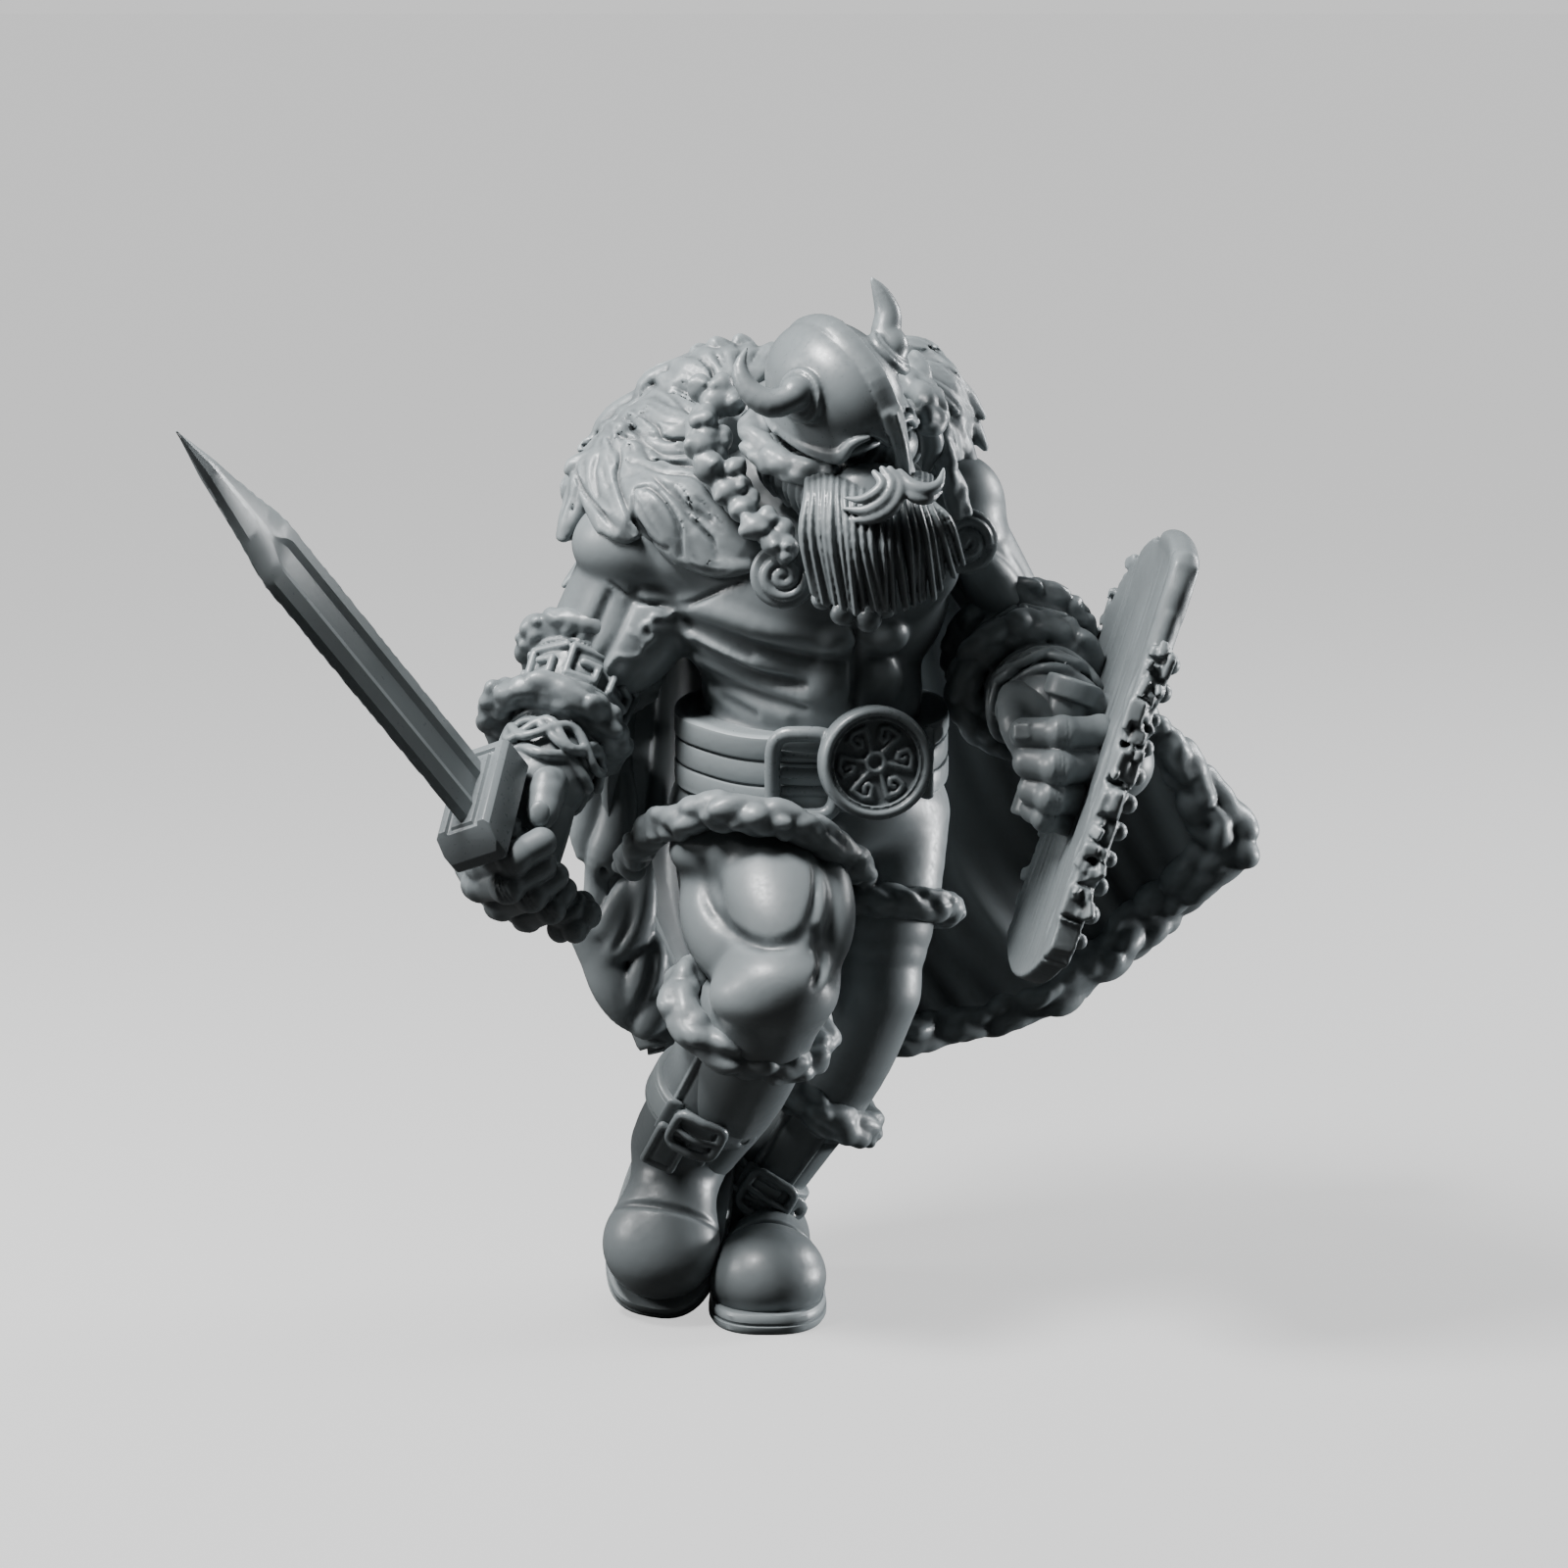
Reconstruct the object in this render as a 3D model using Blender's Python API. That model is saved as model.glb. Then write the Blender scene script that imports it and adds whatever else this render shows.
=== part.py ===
"""Viking miniature figure: a 78 mm resin display figure of a charging warrior, cast in one piece.

The figure is modelled in steps, LAYOUT_STEPS of them to its height, and scaled to metres at the end.
Most points are given as they are seen from in front, a little above the hips: so many steps across,
up, and behind the hips. +Y runs to the figure's back, +Z is up, and the origin is the middle of the
planted boot's sole, on the ground.
"""

import math
import random

import bmesh
import bpy
from mathutils import Matrix, Vector

# Driving sizes
FIGURE_HEIGHT = 0.078  # from the sole to the tip of the raised horn, in metres
LAYOUT_STEPS = 1056  # steps to that height
STEP = FIGURE_HEIGHT / LAYOUT_STEPS
RESIN_GREY = (0.23, 0.25, 0.26, 1.0)

# The front view that the layout is read from
FRONT_TILT = math.radians(10)
FRONT_DISTANCE = 4500

# Fineness of the solid, in steps and triangles
BODY_VOXEL, BODY_TRIANGLES = 4.5, 3000
HEAD_VOXEL, HEAD_TRIANGLES = 3.2, 1750
MANTLE_VOXEL, MANTLE_TRIANGLES = 4.0, 1350
CAPE_VOXEL, CAPE_TRIANGLES = 4.0, 1250

# Sword, shield and soles, in steps
BLADE_WIDTH = 90
BLADE_THICKNESS = 17
BLADE_POINT = 160  # length of the tapered point
FULLER_WIDTH = 30
FULLER_DEPTH = 5
GUARD_SIZE = (62, 132, 46)  # across the blade's flat, along its width, along its length
GUARD_CHAMFER = 12
GRIP_LENGTH = 172
SHIELD_RADIUS = 234
SHIELD_THICKNESS = 25
BOSS_RADIUS = 40
HANDLE_RADIUS = 20
SOLE_THICKNESS = 20
SOLE_LENGTH = 252
SOLE_WIDTH = 134
CAPE_THICKNESS = (42, 30, 15, 11, 10)  # from the figure's right to its left
CAPE_FOLD = 15

# The front view's own directions
ACROSS = Vector((1, 0, 0))
AWAY = Vector((0, math.cos(FRONT_TILT), -math.sin(FRONT_TILT)))
UPWARD = Vector((0, math.sin(FRONT_TILT), math.cos(FRONT_TILT)))
LEVEL = Vector((0, 0, 1))
AHEAD = Vector((0, -1, 0))


def seen(across, up, behind):
    """The point that the front view shows there, at that depth, measured from the hips."""
    growth = 1 + behind / FRONT_DISTANCE
    return ACROSS * across * growth + UPWARD * up * growth + AWAY * behind


# The middle of the planted sole, below the point that the front view shows as the toe's lowest
SOLE_CENTRE = seen(-10, -563, -70) + Vector((-7, SOLE_LENGTH / 2, 0))


def spot(across, up, behind):
    """A point of the front view, from the figure's own origin."""
    return seen(across, up, behind) - SOLE_CENTRE


def spots(*points):
    return [spot(*point) for point in points]


def heading(across, up, towards):
    """A direction of the front view."""
    return (ACROSS * across + UPWARD * up - AWAY * towards).normalized()


def turned(axis, facing):
    """A rotation whose Z is axis and whose X is as near to facing as it can be."""
    z = Vector(axis).normalized()
    x = Vector(facing) - z * z.dot(Vector(facing))
    if x.length < 1e-6:
        x = z.orthogonal()
    x.normalize()
    return Matrix((x, z.cross(x), z)).transposed()


def curve_at(points, share):
    """The point at this share of a smooth curve through the points. They may be vectors or numbers."""
    last = len(points) - 1
    place = min(max(share, 0.0), 1.0) * last
    i = min(int(place), last - 1)
    t = place - i
    p1, p2 = points[i], points[i + 1]
    p0 = points[i - 1] if i else p1 * 2 - p2
    p3 = points[i + 2] if i + 2 <= last else p2 * 2 - p1
    return (
        p1 * 2
        + (p2 - p0) * t
        + (p0 * 2 - p1 * 5 + p2 * 4 - p3) * t**2
        + (p1 * 3 - p0 - p2 * 3 + p3) * t**3
    ) * 0.5


class Clay:
    """Closed shapes that overlap freely, and are merged into one body when the figure is finished."""

    def __init__(self):
        self.points = []
        self.faces = []

    def add(self, points, faces):
        first = len(self.points)
        self.points.extend(points)
        self.faces.extend(tuple(first + i for i in face) for face in faces)


def unit_ball(subdivisions):
    ball_mesh = bmesh.new()
    bmesh.ops.create_icosphere(ball_mesh, subdivisions=subdivisions, radius=1)
    points = [v.co.copy() for v in ball_mesh.verts]
    faces = [tuple(v.index for v in face.verts) for face in ball_mesh.faces]
    ball_mesh.free()
    return points, faces


FINE_BALL = unit_ball(3)
COARSE_BALL = unit_ball(2)


def ball(clay, centre, radii, rotation=None, shape=FINE_BALL):
    """An ellipsoid."""
    turn = rotation or Matrix.Identity(3)
    frame = turn @ Matrix.Diagonal(Vector(radii))
    clay.add([centre + frame @ p for p in shape[0]], shape[1])


def form(clay, start, end, thick, wide=None, facing=AHEAD, shape=FINE_BALL):
    """An ellipsoid from start to end, such as a muscle. thick is half its depth along facing."""
    radii = (thick, wide or thick, (end - start).length / 2)
    ball(clay, (start + end) / 2, radii, turned(end - start, facing), shape)


def strand(clay, points, thick, wide=None, facing=UPWARD, sides=12, rings=12):
    """A closed tube along a smooth curve. thick and wide are half sizes along and across facing."""
    rows = []
    wide = wide or thick
    for i in range(rings + 1):
        share = i / rings
        along = curve_at(points, min(share + 0.02, 1.0)) - curve_at(points, max(share - 0.02, 0.0))
        rotation = turned(along, facing)
        size = Vector((curve_at(thick, share), curve_at(wide, share), 0))
        for j in range(sides):
            angle = math.tau * j / sides
            offset = Vector((math.cos(angle) * size.x, math.sin(angle) * size.y, 0))
            rows.append(curve_at(points, share) + rotation @ offset)
    faces = []
    for i in range(rings):
        for j in range(sides):
            k = (j + 1) % sides
            faces.append((i * sides + j, i * sides + k, (i + 1) * sides + k, (i + 1) * sides + j))
    faces.append(tuple(range(sides))[::-1])
    faces.append(tuple(range(rings * sides, (rings + 1) * sides)))
    clay.add(rows, faces)


def limb(clay, points, radii):
    """A round strand with rounded ends."""
    strand(clay, points, radii)
    ball(clay, points[0], (radii[0],) * 3)
    ball(clay, points[-1], (radii[-1],) * 3)


def lock(clay, root, tip, wide, thick, outward, curl=0.0):
    """A lock of hair: broad at first, then drawn to a point, lying along the surface."""
    middle = root.lerp(tip, 0.5) + Vector(outward).normalized() * (tip - root).length * 0.12
    sideways = (tip - root).cross(Vector(outward)).normalized() * curl
    strand(
        clay,
        [root, middle + sideways, tip],
        [thick * 0.6, thick, thick * 0.75, 1.5],
        [wide * 0.6, wide, wide * 0.8, 2.5],
        outward,
        sides=8,
        rings=8,
    )


def fur_roll(clay, points, radii, seed, spacing=0.85):
    """A rolled edge of curly fleece: lumps crowded along a curve."""
    rng = random.Random(seed)
    length = sum((b - a).length for a, b in zip(points, points[1:]))
    share = 0.0
    while share <= 1.0:
        radius = curve_at(radii, share)
        for _ in range(2):
            drift = Vector((rng.uniform(-1, 1), rng.uniform(-1, 1), rng.uniform(-1, 1)))
            size = radius * rng.uniform(0.66, 0.95)
            ball(clay, curve_at(points, share) + drift * radius * 0.45, (size,) * 3, shape=COARSE_BALL)
        share += radius * spacing / length


def loop(centre, axis, facing, wide, deep, count=12):
    """Points round an ellipse that lies square to the axis, with the first repeated at the end."""
    rotation = turned(axis, facing)
    points = []
    for i in range(count + 1):
        angle = math.tau * i / count
        points.append(centre + rotation @ Vector((math.cos(angle) * wide, math.sin(angle) * deep, 0)))
    return points


def add_torso(clay):
    """The bare trunk: chest, the folds of the ribs, the stomach, and the pelvis in its breeches."""
    ball(clay, spot(22, 200, -30), (148, 112, 125))
    ball(clay, spot(15, 275, -10), (160, 100, 88))
    ball(clay, spot(28, 100, 0), (118, 94, 90))
    ball(clay, spot(48, 95, -35), (96, 76, 85))
    ball(clay, spot(26, -15, 20), (130, 100, 82))
    ball(clay, spot(-30, -30, 66), (92, 74, 78))
    ball(clay, spot(-5, 320, 55), (150, 80, 108))
    ball(clay, spot(-60, 238, -95), (88, 48, 50))
    ball(clay, spot(112, 222, -98), (66, 48, 56))
    for i in range(3):
        start = spot(-88 + i * 10, 174 - i * 36, -66)
        middle = spot(-10, 150 - i * 34, -110)
        end = spot(62, 150 - i * 30, -124)
        strand(clay, [start, middle, end], [9, 17, 8])
    for across, up in ((42, 96), (93, 108)):
        ball(clay, spot(across, up, -104), (27, 22, 32))
    for across, up in ((52, 156), (96, 166)):
        ball(clay, spot(across, up, -118), (24, 16, 20))


def add_head(clay, helmet):
    """The helmet with its ridge, nose guard and horns, the face below it, moustache and long beard."""
    forward = heading(0.50, -0.45, 0.74)
    crown = heading(-0.15, 0.80, 0.58)
    crown = (crown - forward * crown.dot(forward)).normalized()
    right = forward.cross(crown)
    skull = Matrix((right, forward, crown)).transposed()
    limb(clay, [spot(10, 300, 0), helmet - crown * 40 - forward * 20], [70, 56])
    ball(clay, helmet, (70, 86, 68), skull)
    ball(clay, helmet - crown * 20, (76, 91, 26), skull)
    ridge = [helmet + crown * 38 - forward * 72, helmet + crown * 66, helmet + crown * 36 + forward * 72]
    strand(clay, ridge + [helmet - crown * 6 + forward * 89], [8, 9, 9, 8], [13, 15, 15, 13], forward)
    ball(clay, helmet + forward * 12 - crown * 56, (54, 58, 60), skull)
    nose_guard = [helmet + forward * 88 + crown * 4, helmet + forward * 93 - crown * 30]
    strand(clay, nose_guard + [helmet + forward * 90 - crown * 62], [9, 9, 9], [13, 15, 17], forward)
    ball(clay, helmet + forward * 80 - crown * 60, (22, 20, 16), skull)
    for side in (1, -1):
        ball(clay, helmet + right * side * 34 + forward * 56 - crown * 62, (22, 20, 24), skull)
    brim = []
    for degrees in range(60, -241, -20):
        angle = math.radians(degrees)
        brim.append(helmet + right * 76 * math.cos(angle) + forward * 84 * math.sin(angle) - crown * 46)
    fur_roll(clay, brim, [16, 17], seed=3)
    for side in (1, -1):
        root = helmet + right * side * 62 - crown * 56
        for i in range(4):
            start = root + forward * (30 - i * 26)
            lock(clay, start, start - crown * 66 - forward * 14, 18, 11, right * side)
    socket = helmet + right * 62 + forward * 4 + crown * 8
    ball(clay, socket, (16, 27, 27), skull)
    horn = [socket, *spots((-13, 389, -230), (-35, 402, -240), (-44, 424, -250), (-35, 446, -258))]
    strand(clay, horn, [20, 21, 18, 12, 2])
    socket = helmet - right * 60 + crown * 22
    ball(clay, socket, (18, 27, 27), skull)
    horn = [socket, *spots((102, 450, -176), (103, 480, -186), (96, 502, -198), (88, 518, -206))]
    strand(clay, horn, [22, 22, 18, 12, 2])
    count = 9
    for i in range(count):
        share = i / (count - 1)
        bulge = math.sin(share * math.pi) * 30
        outer = abs(share - 0.5) * 2
        top = spot(34 + share * 116, 318 + outer * 14 - share * 8, -252 - bulge)
        middle = spot(26 + share * 138, 250, -256 - bulge)
        bottom = spot(32 + share * 142, 190 - math.sin(share * math.pi) * 8 + share * 18, -226 - bulge)
        strand(clay, [top, middle, bottom], [12, 16, 13], [10, 10.5, 8], heading(0, 0, 1), sides=8)
    form(clay, spot(74, 330, -232), spot(112, 196, -206), 42, 66)
    curls = (
        ((60, 282, -290), (88, 270, -312), (114, 286, -318), (122, 308, -308)),
        ((126, 312, -306), (142, 300, -298), (156, 306, -288), (164, 322, -278)),
    )
    strand(clay, spots(*curls[0]), [4, 12, 14, 7])
    strand(clay, spots(*curls[1]), [7, 11, 9, 3])
    for across, up in ((38, 184), (60, 172), (84, 168)):
        ball(clay, spot(across, up, -196), (13, 13, 14), shape=COARSE_BALL)


def add_mantle(clay):
    """The fur pelt over the shoulders: its pointed locks, its fleece collar and two round brooches."""
    ball(clay, spot(-85, 312, 15), (108, 86, 74))
    ball(clay, spot(-112, 300, 84), (92, 62, 92))
    ball(clay, spot(-142, 284, 0), (72, 76, 60))
    ball(clay, spot(143, 362, 20), (52, 66, 76))
    ball(clay, spot(10, 390, 70), (148, 60, 70))
    heart = spot(-70, 290, 60)
    tips = (
        (-240, 246, -10), (-220, 234, -60), (-177, 259, -96), (-145, 243, -118), (-118, 227, -130),
        (-99, 213, -138), (-70, 211, -144), (-30, 215, -150), (-10, 227, -150),
        (-221, 287, 0), (-220, 328, 20), (-200, 304, -60), (-160, 286, -100), (-112, 272, -124),
        (-66, 268, -134), (-184, 358, 30), (-150, 352, -50), (-110, 336, -94), (-122, 413, 45),
        (-86, 400, -10),
    )
    for i, place in enumerate(tips):
        tip = spot(*place)
        root = tip.lerp(spot(-64, 372, -10), 0.42 + 0.1 * (i % 3))
        outward = root - heart
        lock(clay, root, tip, 26, 13, outward, curl=6 if i % 2 else -6)
    heart = spot(120, 320, 60)
    tips = ((205, 372, 10), (198, 332, -10), (190, 296, -40), (196, 408, 40), (176, 436, 50), (150, 452, 60),
            (178, 352, -50), (160, 398, -20))
    for place in tips:
        tip = spot(*place)
        lock(clay, tip.lerp(spot(120, 400, 0), 0.6), tip, 22, 12, tip - heart)
    for row in range(2):
        for i in range(7):
            across = -128 + i * 44 + row * 20
            tip = spot(across, 296 + row * 70 - (i % 2) * 20, 168 - row * 14)
            lock(clay, spot(across * 0.85, 410 + row * 24, 104), tip, 30, 15, AWAY + UPWARD * 0.3)
    edge = spots(
        (-72, 404, -80), (-86, 368, -120), (-84, 330, -140),
        (-56, 296, -160), (-32, 266, -172), (-2, 236, -176),
    )
    fur_roll(clay, edge, [17, 20, 19, 18, 17, 14], seed=11)
    edge = spots((132, 430, -60), (150, 380, -110), (168, 320, -130), (182, 270, -120))
    fur_roll(clay, edge, [14, 16, 15, 13], seed=12)
    for place in ((0, 213, -176), (184, 248, -112)):
        facing = heading(-0.25, -0.1, 1)
        form(clay, spot(*place) - facing * 13, spot(*place) + facing * 13, 33, 33)


def cape_point(across, down):
    """A point of the cape's sheet, by shares of its width and of its fall from the shoulders to the hem."""
    rows = (
        ((-185, 260, 62), (-105, 350, 96), (15, 385, 118), (125, 346, 112), (216, 240, 92)),
        ((-198, 90, 84), (-110, 110, 150), (15, 110, 178), (150, 110, 176), (288, 140, 170)),
        ((-216, -84, 100), (-122, -95, 176), (20, -95, 214), (190, -80, 240), (376, 42, 240)),
        ((-180, -204, 108), (-100, -276, 172), (78, -272, 226), (282, -220, 296), (441, -56, 300)),
    )
    point = curve_at([curve_at(spots(*row), across) for row in rows], down)
    swing = math.sin(across * math.tau * 3.5 + down * 1.4) * CAPE_FOLD * (0.25 + down)
    return point + AWAY * swing


def add_cape(clay):
    """The cape: a sheet that falls in folds, with fleece along its hem and its left edge."""
    wide, long = 40, 24
    columns = wide + 1
    front, back = [], []
    for j in range(long + 1):
        for i in range(columns):
            across, down = i / wide, j / long
            sideways = cape_point(min(across + 0.01, 1), down) - cape_point(max(across - 0.01, 0), down)
            falling = cape_point(across, min(down + 0.01, 1)) - cape_point(across, max(down - 0.01, 0))
            outward = falling.cross(sideways).normalized()
            front.append(cape_point(across, down))
            back.append(cape_point(across, down) + outward * curve_at(CAPE_THICKNESS, across))
    faces = []
    other = len(front)
    for j in range(long):
        for i in range(wide):
            a, b = j * columns + i, j * columns + i + 1
            c, d = b + columns, a + columns
            faces.append((a, b, c, d))
            faces.append((other + d, other + c, other + b, other + a))
    edge = [i for i in range(columns)]
    edge += [j * columns + wide for j in range(1, long + 1)]
    edge += [long * columns + i for i in range(wide - 1, -1, -1)]
    edge += [j * columns for j in range(long - 1, 0, -1)]
    for a, b in zip(edge, edge[1:] + edge[:1]):
        faces.append((b, a, other + a, other + b))
    clay.add(front + back, faces)
    hem = [cape_point(share, 1.0) for share in (0.36, 0.5, 0.62, 0.75, 0.88, 1.0)]
    fur_roll(clay, hem, [15, 19, 22, 25, 30, 34], seed=21)
    side = [cape_point(1.0, share) for share in (1.0, 0.86, 0.7, 0.5, 0.3)]
    fur_roll(clay, side, [34, 29, 23, 19, 15], seed=22)


def add_fingers(clay, fingers, sizes):
    """Bent fingers, each through its knuckle, its two joints and its tip."""
    for path, size in zip(fingers, sizes):
        joints = spots(*path)
        for i in range(len(joints) - 1):
            limb(clay, joints[i : i + 2], [size * (1.06 - i * 0.05), size * (1.0 - i * 0.05)])


def add_bracer(clay, elbow, wrist, radii, seed):
    """The forearm guard: a banded cuff between two rings of fleece, and a twisted binding at the wrist."""
    axis = wrist - elbow
    strand(clay, [elbow, (elbow + wrist) / 2, wrist], radii)
    for share, swell in ((0.1, 8), (0.56, 16)):
        size = radii[0] + (radii[2] - radii[0]) * share + swell
        ring = loop(elbow + axis * share, axis, ACROSS, size, size)
        fur_roll(clay, ring, [16, 16], seed=seed + int(share * 10))
    for share, swell in ((0.3, 5), (0.74, 6), (0.86, 8)):
        size = radii[0] + (radii[2] - radii[0]) * share + swell * 0.5
        strand(clay, loop(elbow + axis * share, axis, ACROSS, size, size), [swell, swell], sides=8, rings=24)


def add_sword_arm(clay, guard, pommel):
    """The sword arm: shoulder, upper arm, the forearm in its bracer, and the fist on the grip."""
    axis = (pommel - guard).normalized()
    ball(clay, spot(-138, 236, -40), (70, 68, 60))
    limb(clay, spots((-145, 220, -25), (-172, 165, 15), (-196, 118, 20)), [62, 59, 50])
    form(clay, spot(-112, 215, -78), spot(-186, 104, -20), 42, 42)
    form(clay, spot(-176, 222, 10), spot(-216, 110, 40), 40, 40)
    elbow, wrist = spot(-196, 135, 15), spot(-244, 8, -82)
    add_bracer(clay, elbow, wrist, [56, 54, 42], seed=31)
    limb(clay, [wrist, spot(-262, -62, -92)], [36, 40])
    form(clay, spot(-246, -40, -86), spot(-310, -104, -96), 30, 46, heading(-0.4, 0.6, -0.5))
    fingers = (
        ((-328, -62, -100), (-308, -86, -150), (-272, -80, -192), (-242, -58, -172)),
        ((-318, -82, -84), (-312, -100, -138), (-282, -104, -178), (-246, -80, -158)),
        ((-302, -102, -66), (-288, -120, -120), (-258, -112, -158), (-232, -90, -136)),
        ((-280, -120, -54), (-262, -134, -100), (-238, -126, -134), (-222, -106, -110)),
    )
    add_fingers(clay, fingers, (18, 18, 17, 15))
    limb(clay, spots((-240, 10, -100), (-244, -16, -142), (-247, -30, -162)), [20, 17, 14])
    limb(clay, [guard, (guard + pommel) / 2, pommel], [17, 16, 17])
    for i in range(5):
        lobe = turned(axis, UPWARD) @ Vector((math.cos(math.tau * i / 5), math.sin(math.tau * i / 5), 0))
        ball(clay, pommel + lobe * 16, (15, 15, 15), shape=COARSE_BALL)


def add_shield_arm(clay, grip_from, grip_to):
    """The shield arm: the forearm comes forward in its bracer and the fist holds the handle."""
    ball(clay, spot(180, 278, 5), (52, 60, 58))
    limb(clay, spots((184, 262, 15), (214, 206, 42), (240, 154, 60)), [46, 41, 38])
    elbow, wrist = spot(243, 138, 30), spot(268, 74, -112)
    add_bracer(clay, elbow, wrist, [60, 56, 42], seed=41)
    form(clay, wrist, spot(280, 10, -140), 46, 44)
    fingers = (
        ((338, 48, -128), (322, 50, -178), (284, 50, -200), (246, 50, -184)),
        ((332, 20, -120), (312, 20, -178), (278, 17, -202), (252, 20, -186)),
        ((318, -8, -112), (298, -14, -170), (272, -14, -194), (256, -8, -180)),
        ((304, -32, -104), (288, -36, -160), (268, -34, -182), (256, -28, -168)),
    )
    add_fingers(clay, fingers, (18, 19, 18, 15))
    limb(clay, spots((240, 84, -128), (240, 60, -160), (250, 36, -172)), [20, 18, 15])
    middle = (grip_from + grip_to) / 2
    strand(clay, [grip_from, middle, grip_to], [HANDLE_RADIUS * 1.4, HANDLE_RADIUS, HANDLE_RADIUS])


def add_legs(clay):
    """Both thighs in short breeches with fleece hems, the bare raised knee, and both calves."""
    limb(clay, spots((-28, -30, 40), (-22, -110, -40), (-8, -195, -145)), [92, 86, 64])
    form(clay, spot(-30, -54, -90), spot(0, -180, -206), 34, 46, heading(0, 0.4, 1))
    form(clay, spot(-84, -70, -40), spot(-62, -205, -150), 38, 42)
    form(clay, spot(34, -60, -80), spot(48, -196, -160), 34, 34)
    ball(clay, spot(-10, -212, -196), (50, 34, 36))
    ball(clay, spot(-12, -236, -176), (58, 40, 34))
    limb(clay, spots((-14, -225, -150), (-50, -300, -60), (-88, -360, 20)), [56, 58, 50])
    hem = spots(
        (-158, -84, 30), (-148, -64, -20), (-128, -40, -64), (-102, -36, -104), (-77, -24, -130),
        (-40, -28, -146), (2, -34, -146), (30, -48, -128), (51, -64, -104), (71, -79, -70), (84, -88, -20),
    )
    fur_roll(clay, hem, [15, 16, 16, 16, 16], seed=51)
    limb(clay, spots((105, -30, 40), (104, -120, 25), (92, -205, 20)), [72, 64, 48])
    axis = spot(92, -205, 20) - spot(105, -30, 40)
    fur_roll(clay, loop(spot(110, -118, 25), axis, ACROSS, 58, 62), [15, 15], seed=52)
    limb(clay, spots((92, -210, 20), (66, -270, 42), (42, -330, 66)), [50, 52, 44])
    form(clay, spot(96, -200, 60), spot(60, -310, 76), 34, 40)


def add_boot(clay, sole, ankle, cuff, forward, up, shaft, cuff_size, seed):
    """A buckled boot: toe, instep, heel and shaft, an ankle strap, and a cuff of fleece."""
    foot = Matrix((forward.cross(up), forward, up)).transposed()
    ball(clay, sole + forward * 60 + up * 44, (63, 66, 50), foot)
    ball(clay, sole + forward * 8 + up * 48, (47, 84, 48), foot)
    ball(clay, sole - forward * 64 + up * 46, (44, 54, 50), foot)
    limb(clay, [sole - forward * 46 + up * 50, ankle, (ankle + cuff) / 2, cuff], shaft)
    axis = cuff - ankle
    for share in (0.0, 0.62):
        strap = ankle + axis * share
        size = shaft[1] + 6
        ends = [strap - axis.normalized() * 14, strap + axis.normalized() * 14]
        strand(clay, ends, [size, size], sides=20, rings=1)
        ball(clay, strap + heading(0.1, 0.1, 1) * size, (20, 12, 18))
    fur_roll(clay, loop(cuff, axis, ACROSS, *cuff_size), [18, 18], seed=seed)


def fill(points_2d, depth, frame, centre):
    """A flat plate: an outline in the frame's X and Y, as thick as depth along its Z."""
    plate = bmesh.new()
    outline = [plate.verts.new((x, y, -depth / 2)) for x, y in points_2d]
    board = plate.faces.new(outline)
    lifted = bmesh.ops.extrude_face_region(plate, geom=[board])
    top = [v for v in lifted["geom"] if isinstance(v, bmesh.types.BMVert)]
    bmesh.ops.translate(plate, vec=(0, 0, depth), verts=top)
    plate.transform(Matrix.Translation(centre) @ frame.to_4x4())
    bmesh.ops.recalc_face_normals(plate, faces=plate.faces)
    return plate


def stacked(rings, frame, centre):
    """A solid through outlines of equal count, one above another."""
    shape = bmesh.new()
    rows = [[shape.verts.new(point) for point in ring] for ring in rings]
    count = len(rows[0])
    for low, high in zip(rows, rows[1:]):
        for j in range(count):
            k = (j + 1) % count
            shape.faces.new((low[j], low[k], high[k], high[j]))
    shape.faces.new(rows[0][::-1])
    shape.faces.new(rows[-1])
    shape.transform(Matrix.Translation(centre) @ frame.to_4x4())
    bmesh.ops.recalc_face_normals(shape, faces=shape.faces)
    return shape


def blade_solid(base, tip, width_axis):
    """A broad double-edged blade with a groove down each flat, the groove ending at the point."""
    axis = (tip - base).normalized()
    length = (tip - base).length
    half, thick = BLADE_WIDTH / 2, BLADE_THICKNESS / 2
    rim, floor = FULLER_WIDTH / 2 + 4, FULLER_WIDTH / 2 - 5
    rings = []
    shoulder = length - BLADE_POINT
    stations = ((0, 1, 1), (shoulder, 1.04, 1), (shoulder + 14, 1.0, 0), (length - 3, 0.04, 0))
    for along, size, groove in stations:
        low = thick - FULLER_DEPTH * groove
        outline = ((half, 0), (rim, thick), (floor, low), (-floor, low), (-rim, thick))
        outline += tuple((-x, -y) for x, y in outline)
        rings.append([(y * min(1, size * 6), x * size, along) for x, y in outline])
    return stacked(rings, turned(axis, width_axis.cross(axis)), base)


def guard_solid(centre, axis, width_axis):
    """The sword's guard: a heavy block with chamfered edges."""
    block = bmesh.new()
    bmesh.ops.create_cube(block, size=1)
    bmesh.ops.scale(block, verts=block.verts, vec=GUARD_SIZE)
    bmesh.ops.bevel(block, geom=block.edges[:], offset=GUARD_CHAMFER, segments=1, affect="EDGES")
    block.transform(Matrix.Translation(centre) @ turned(axis, width_axis.cross(axis)).to_4x4())
    return block


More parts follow.
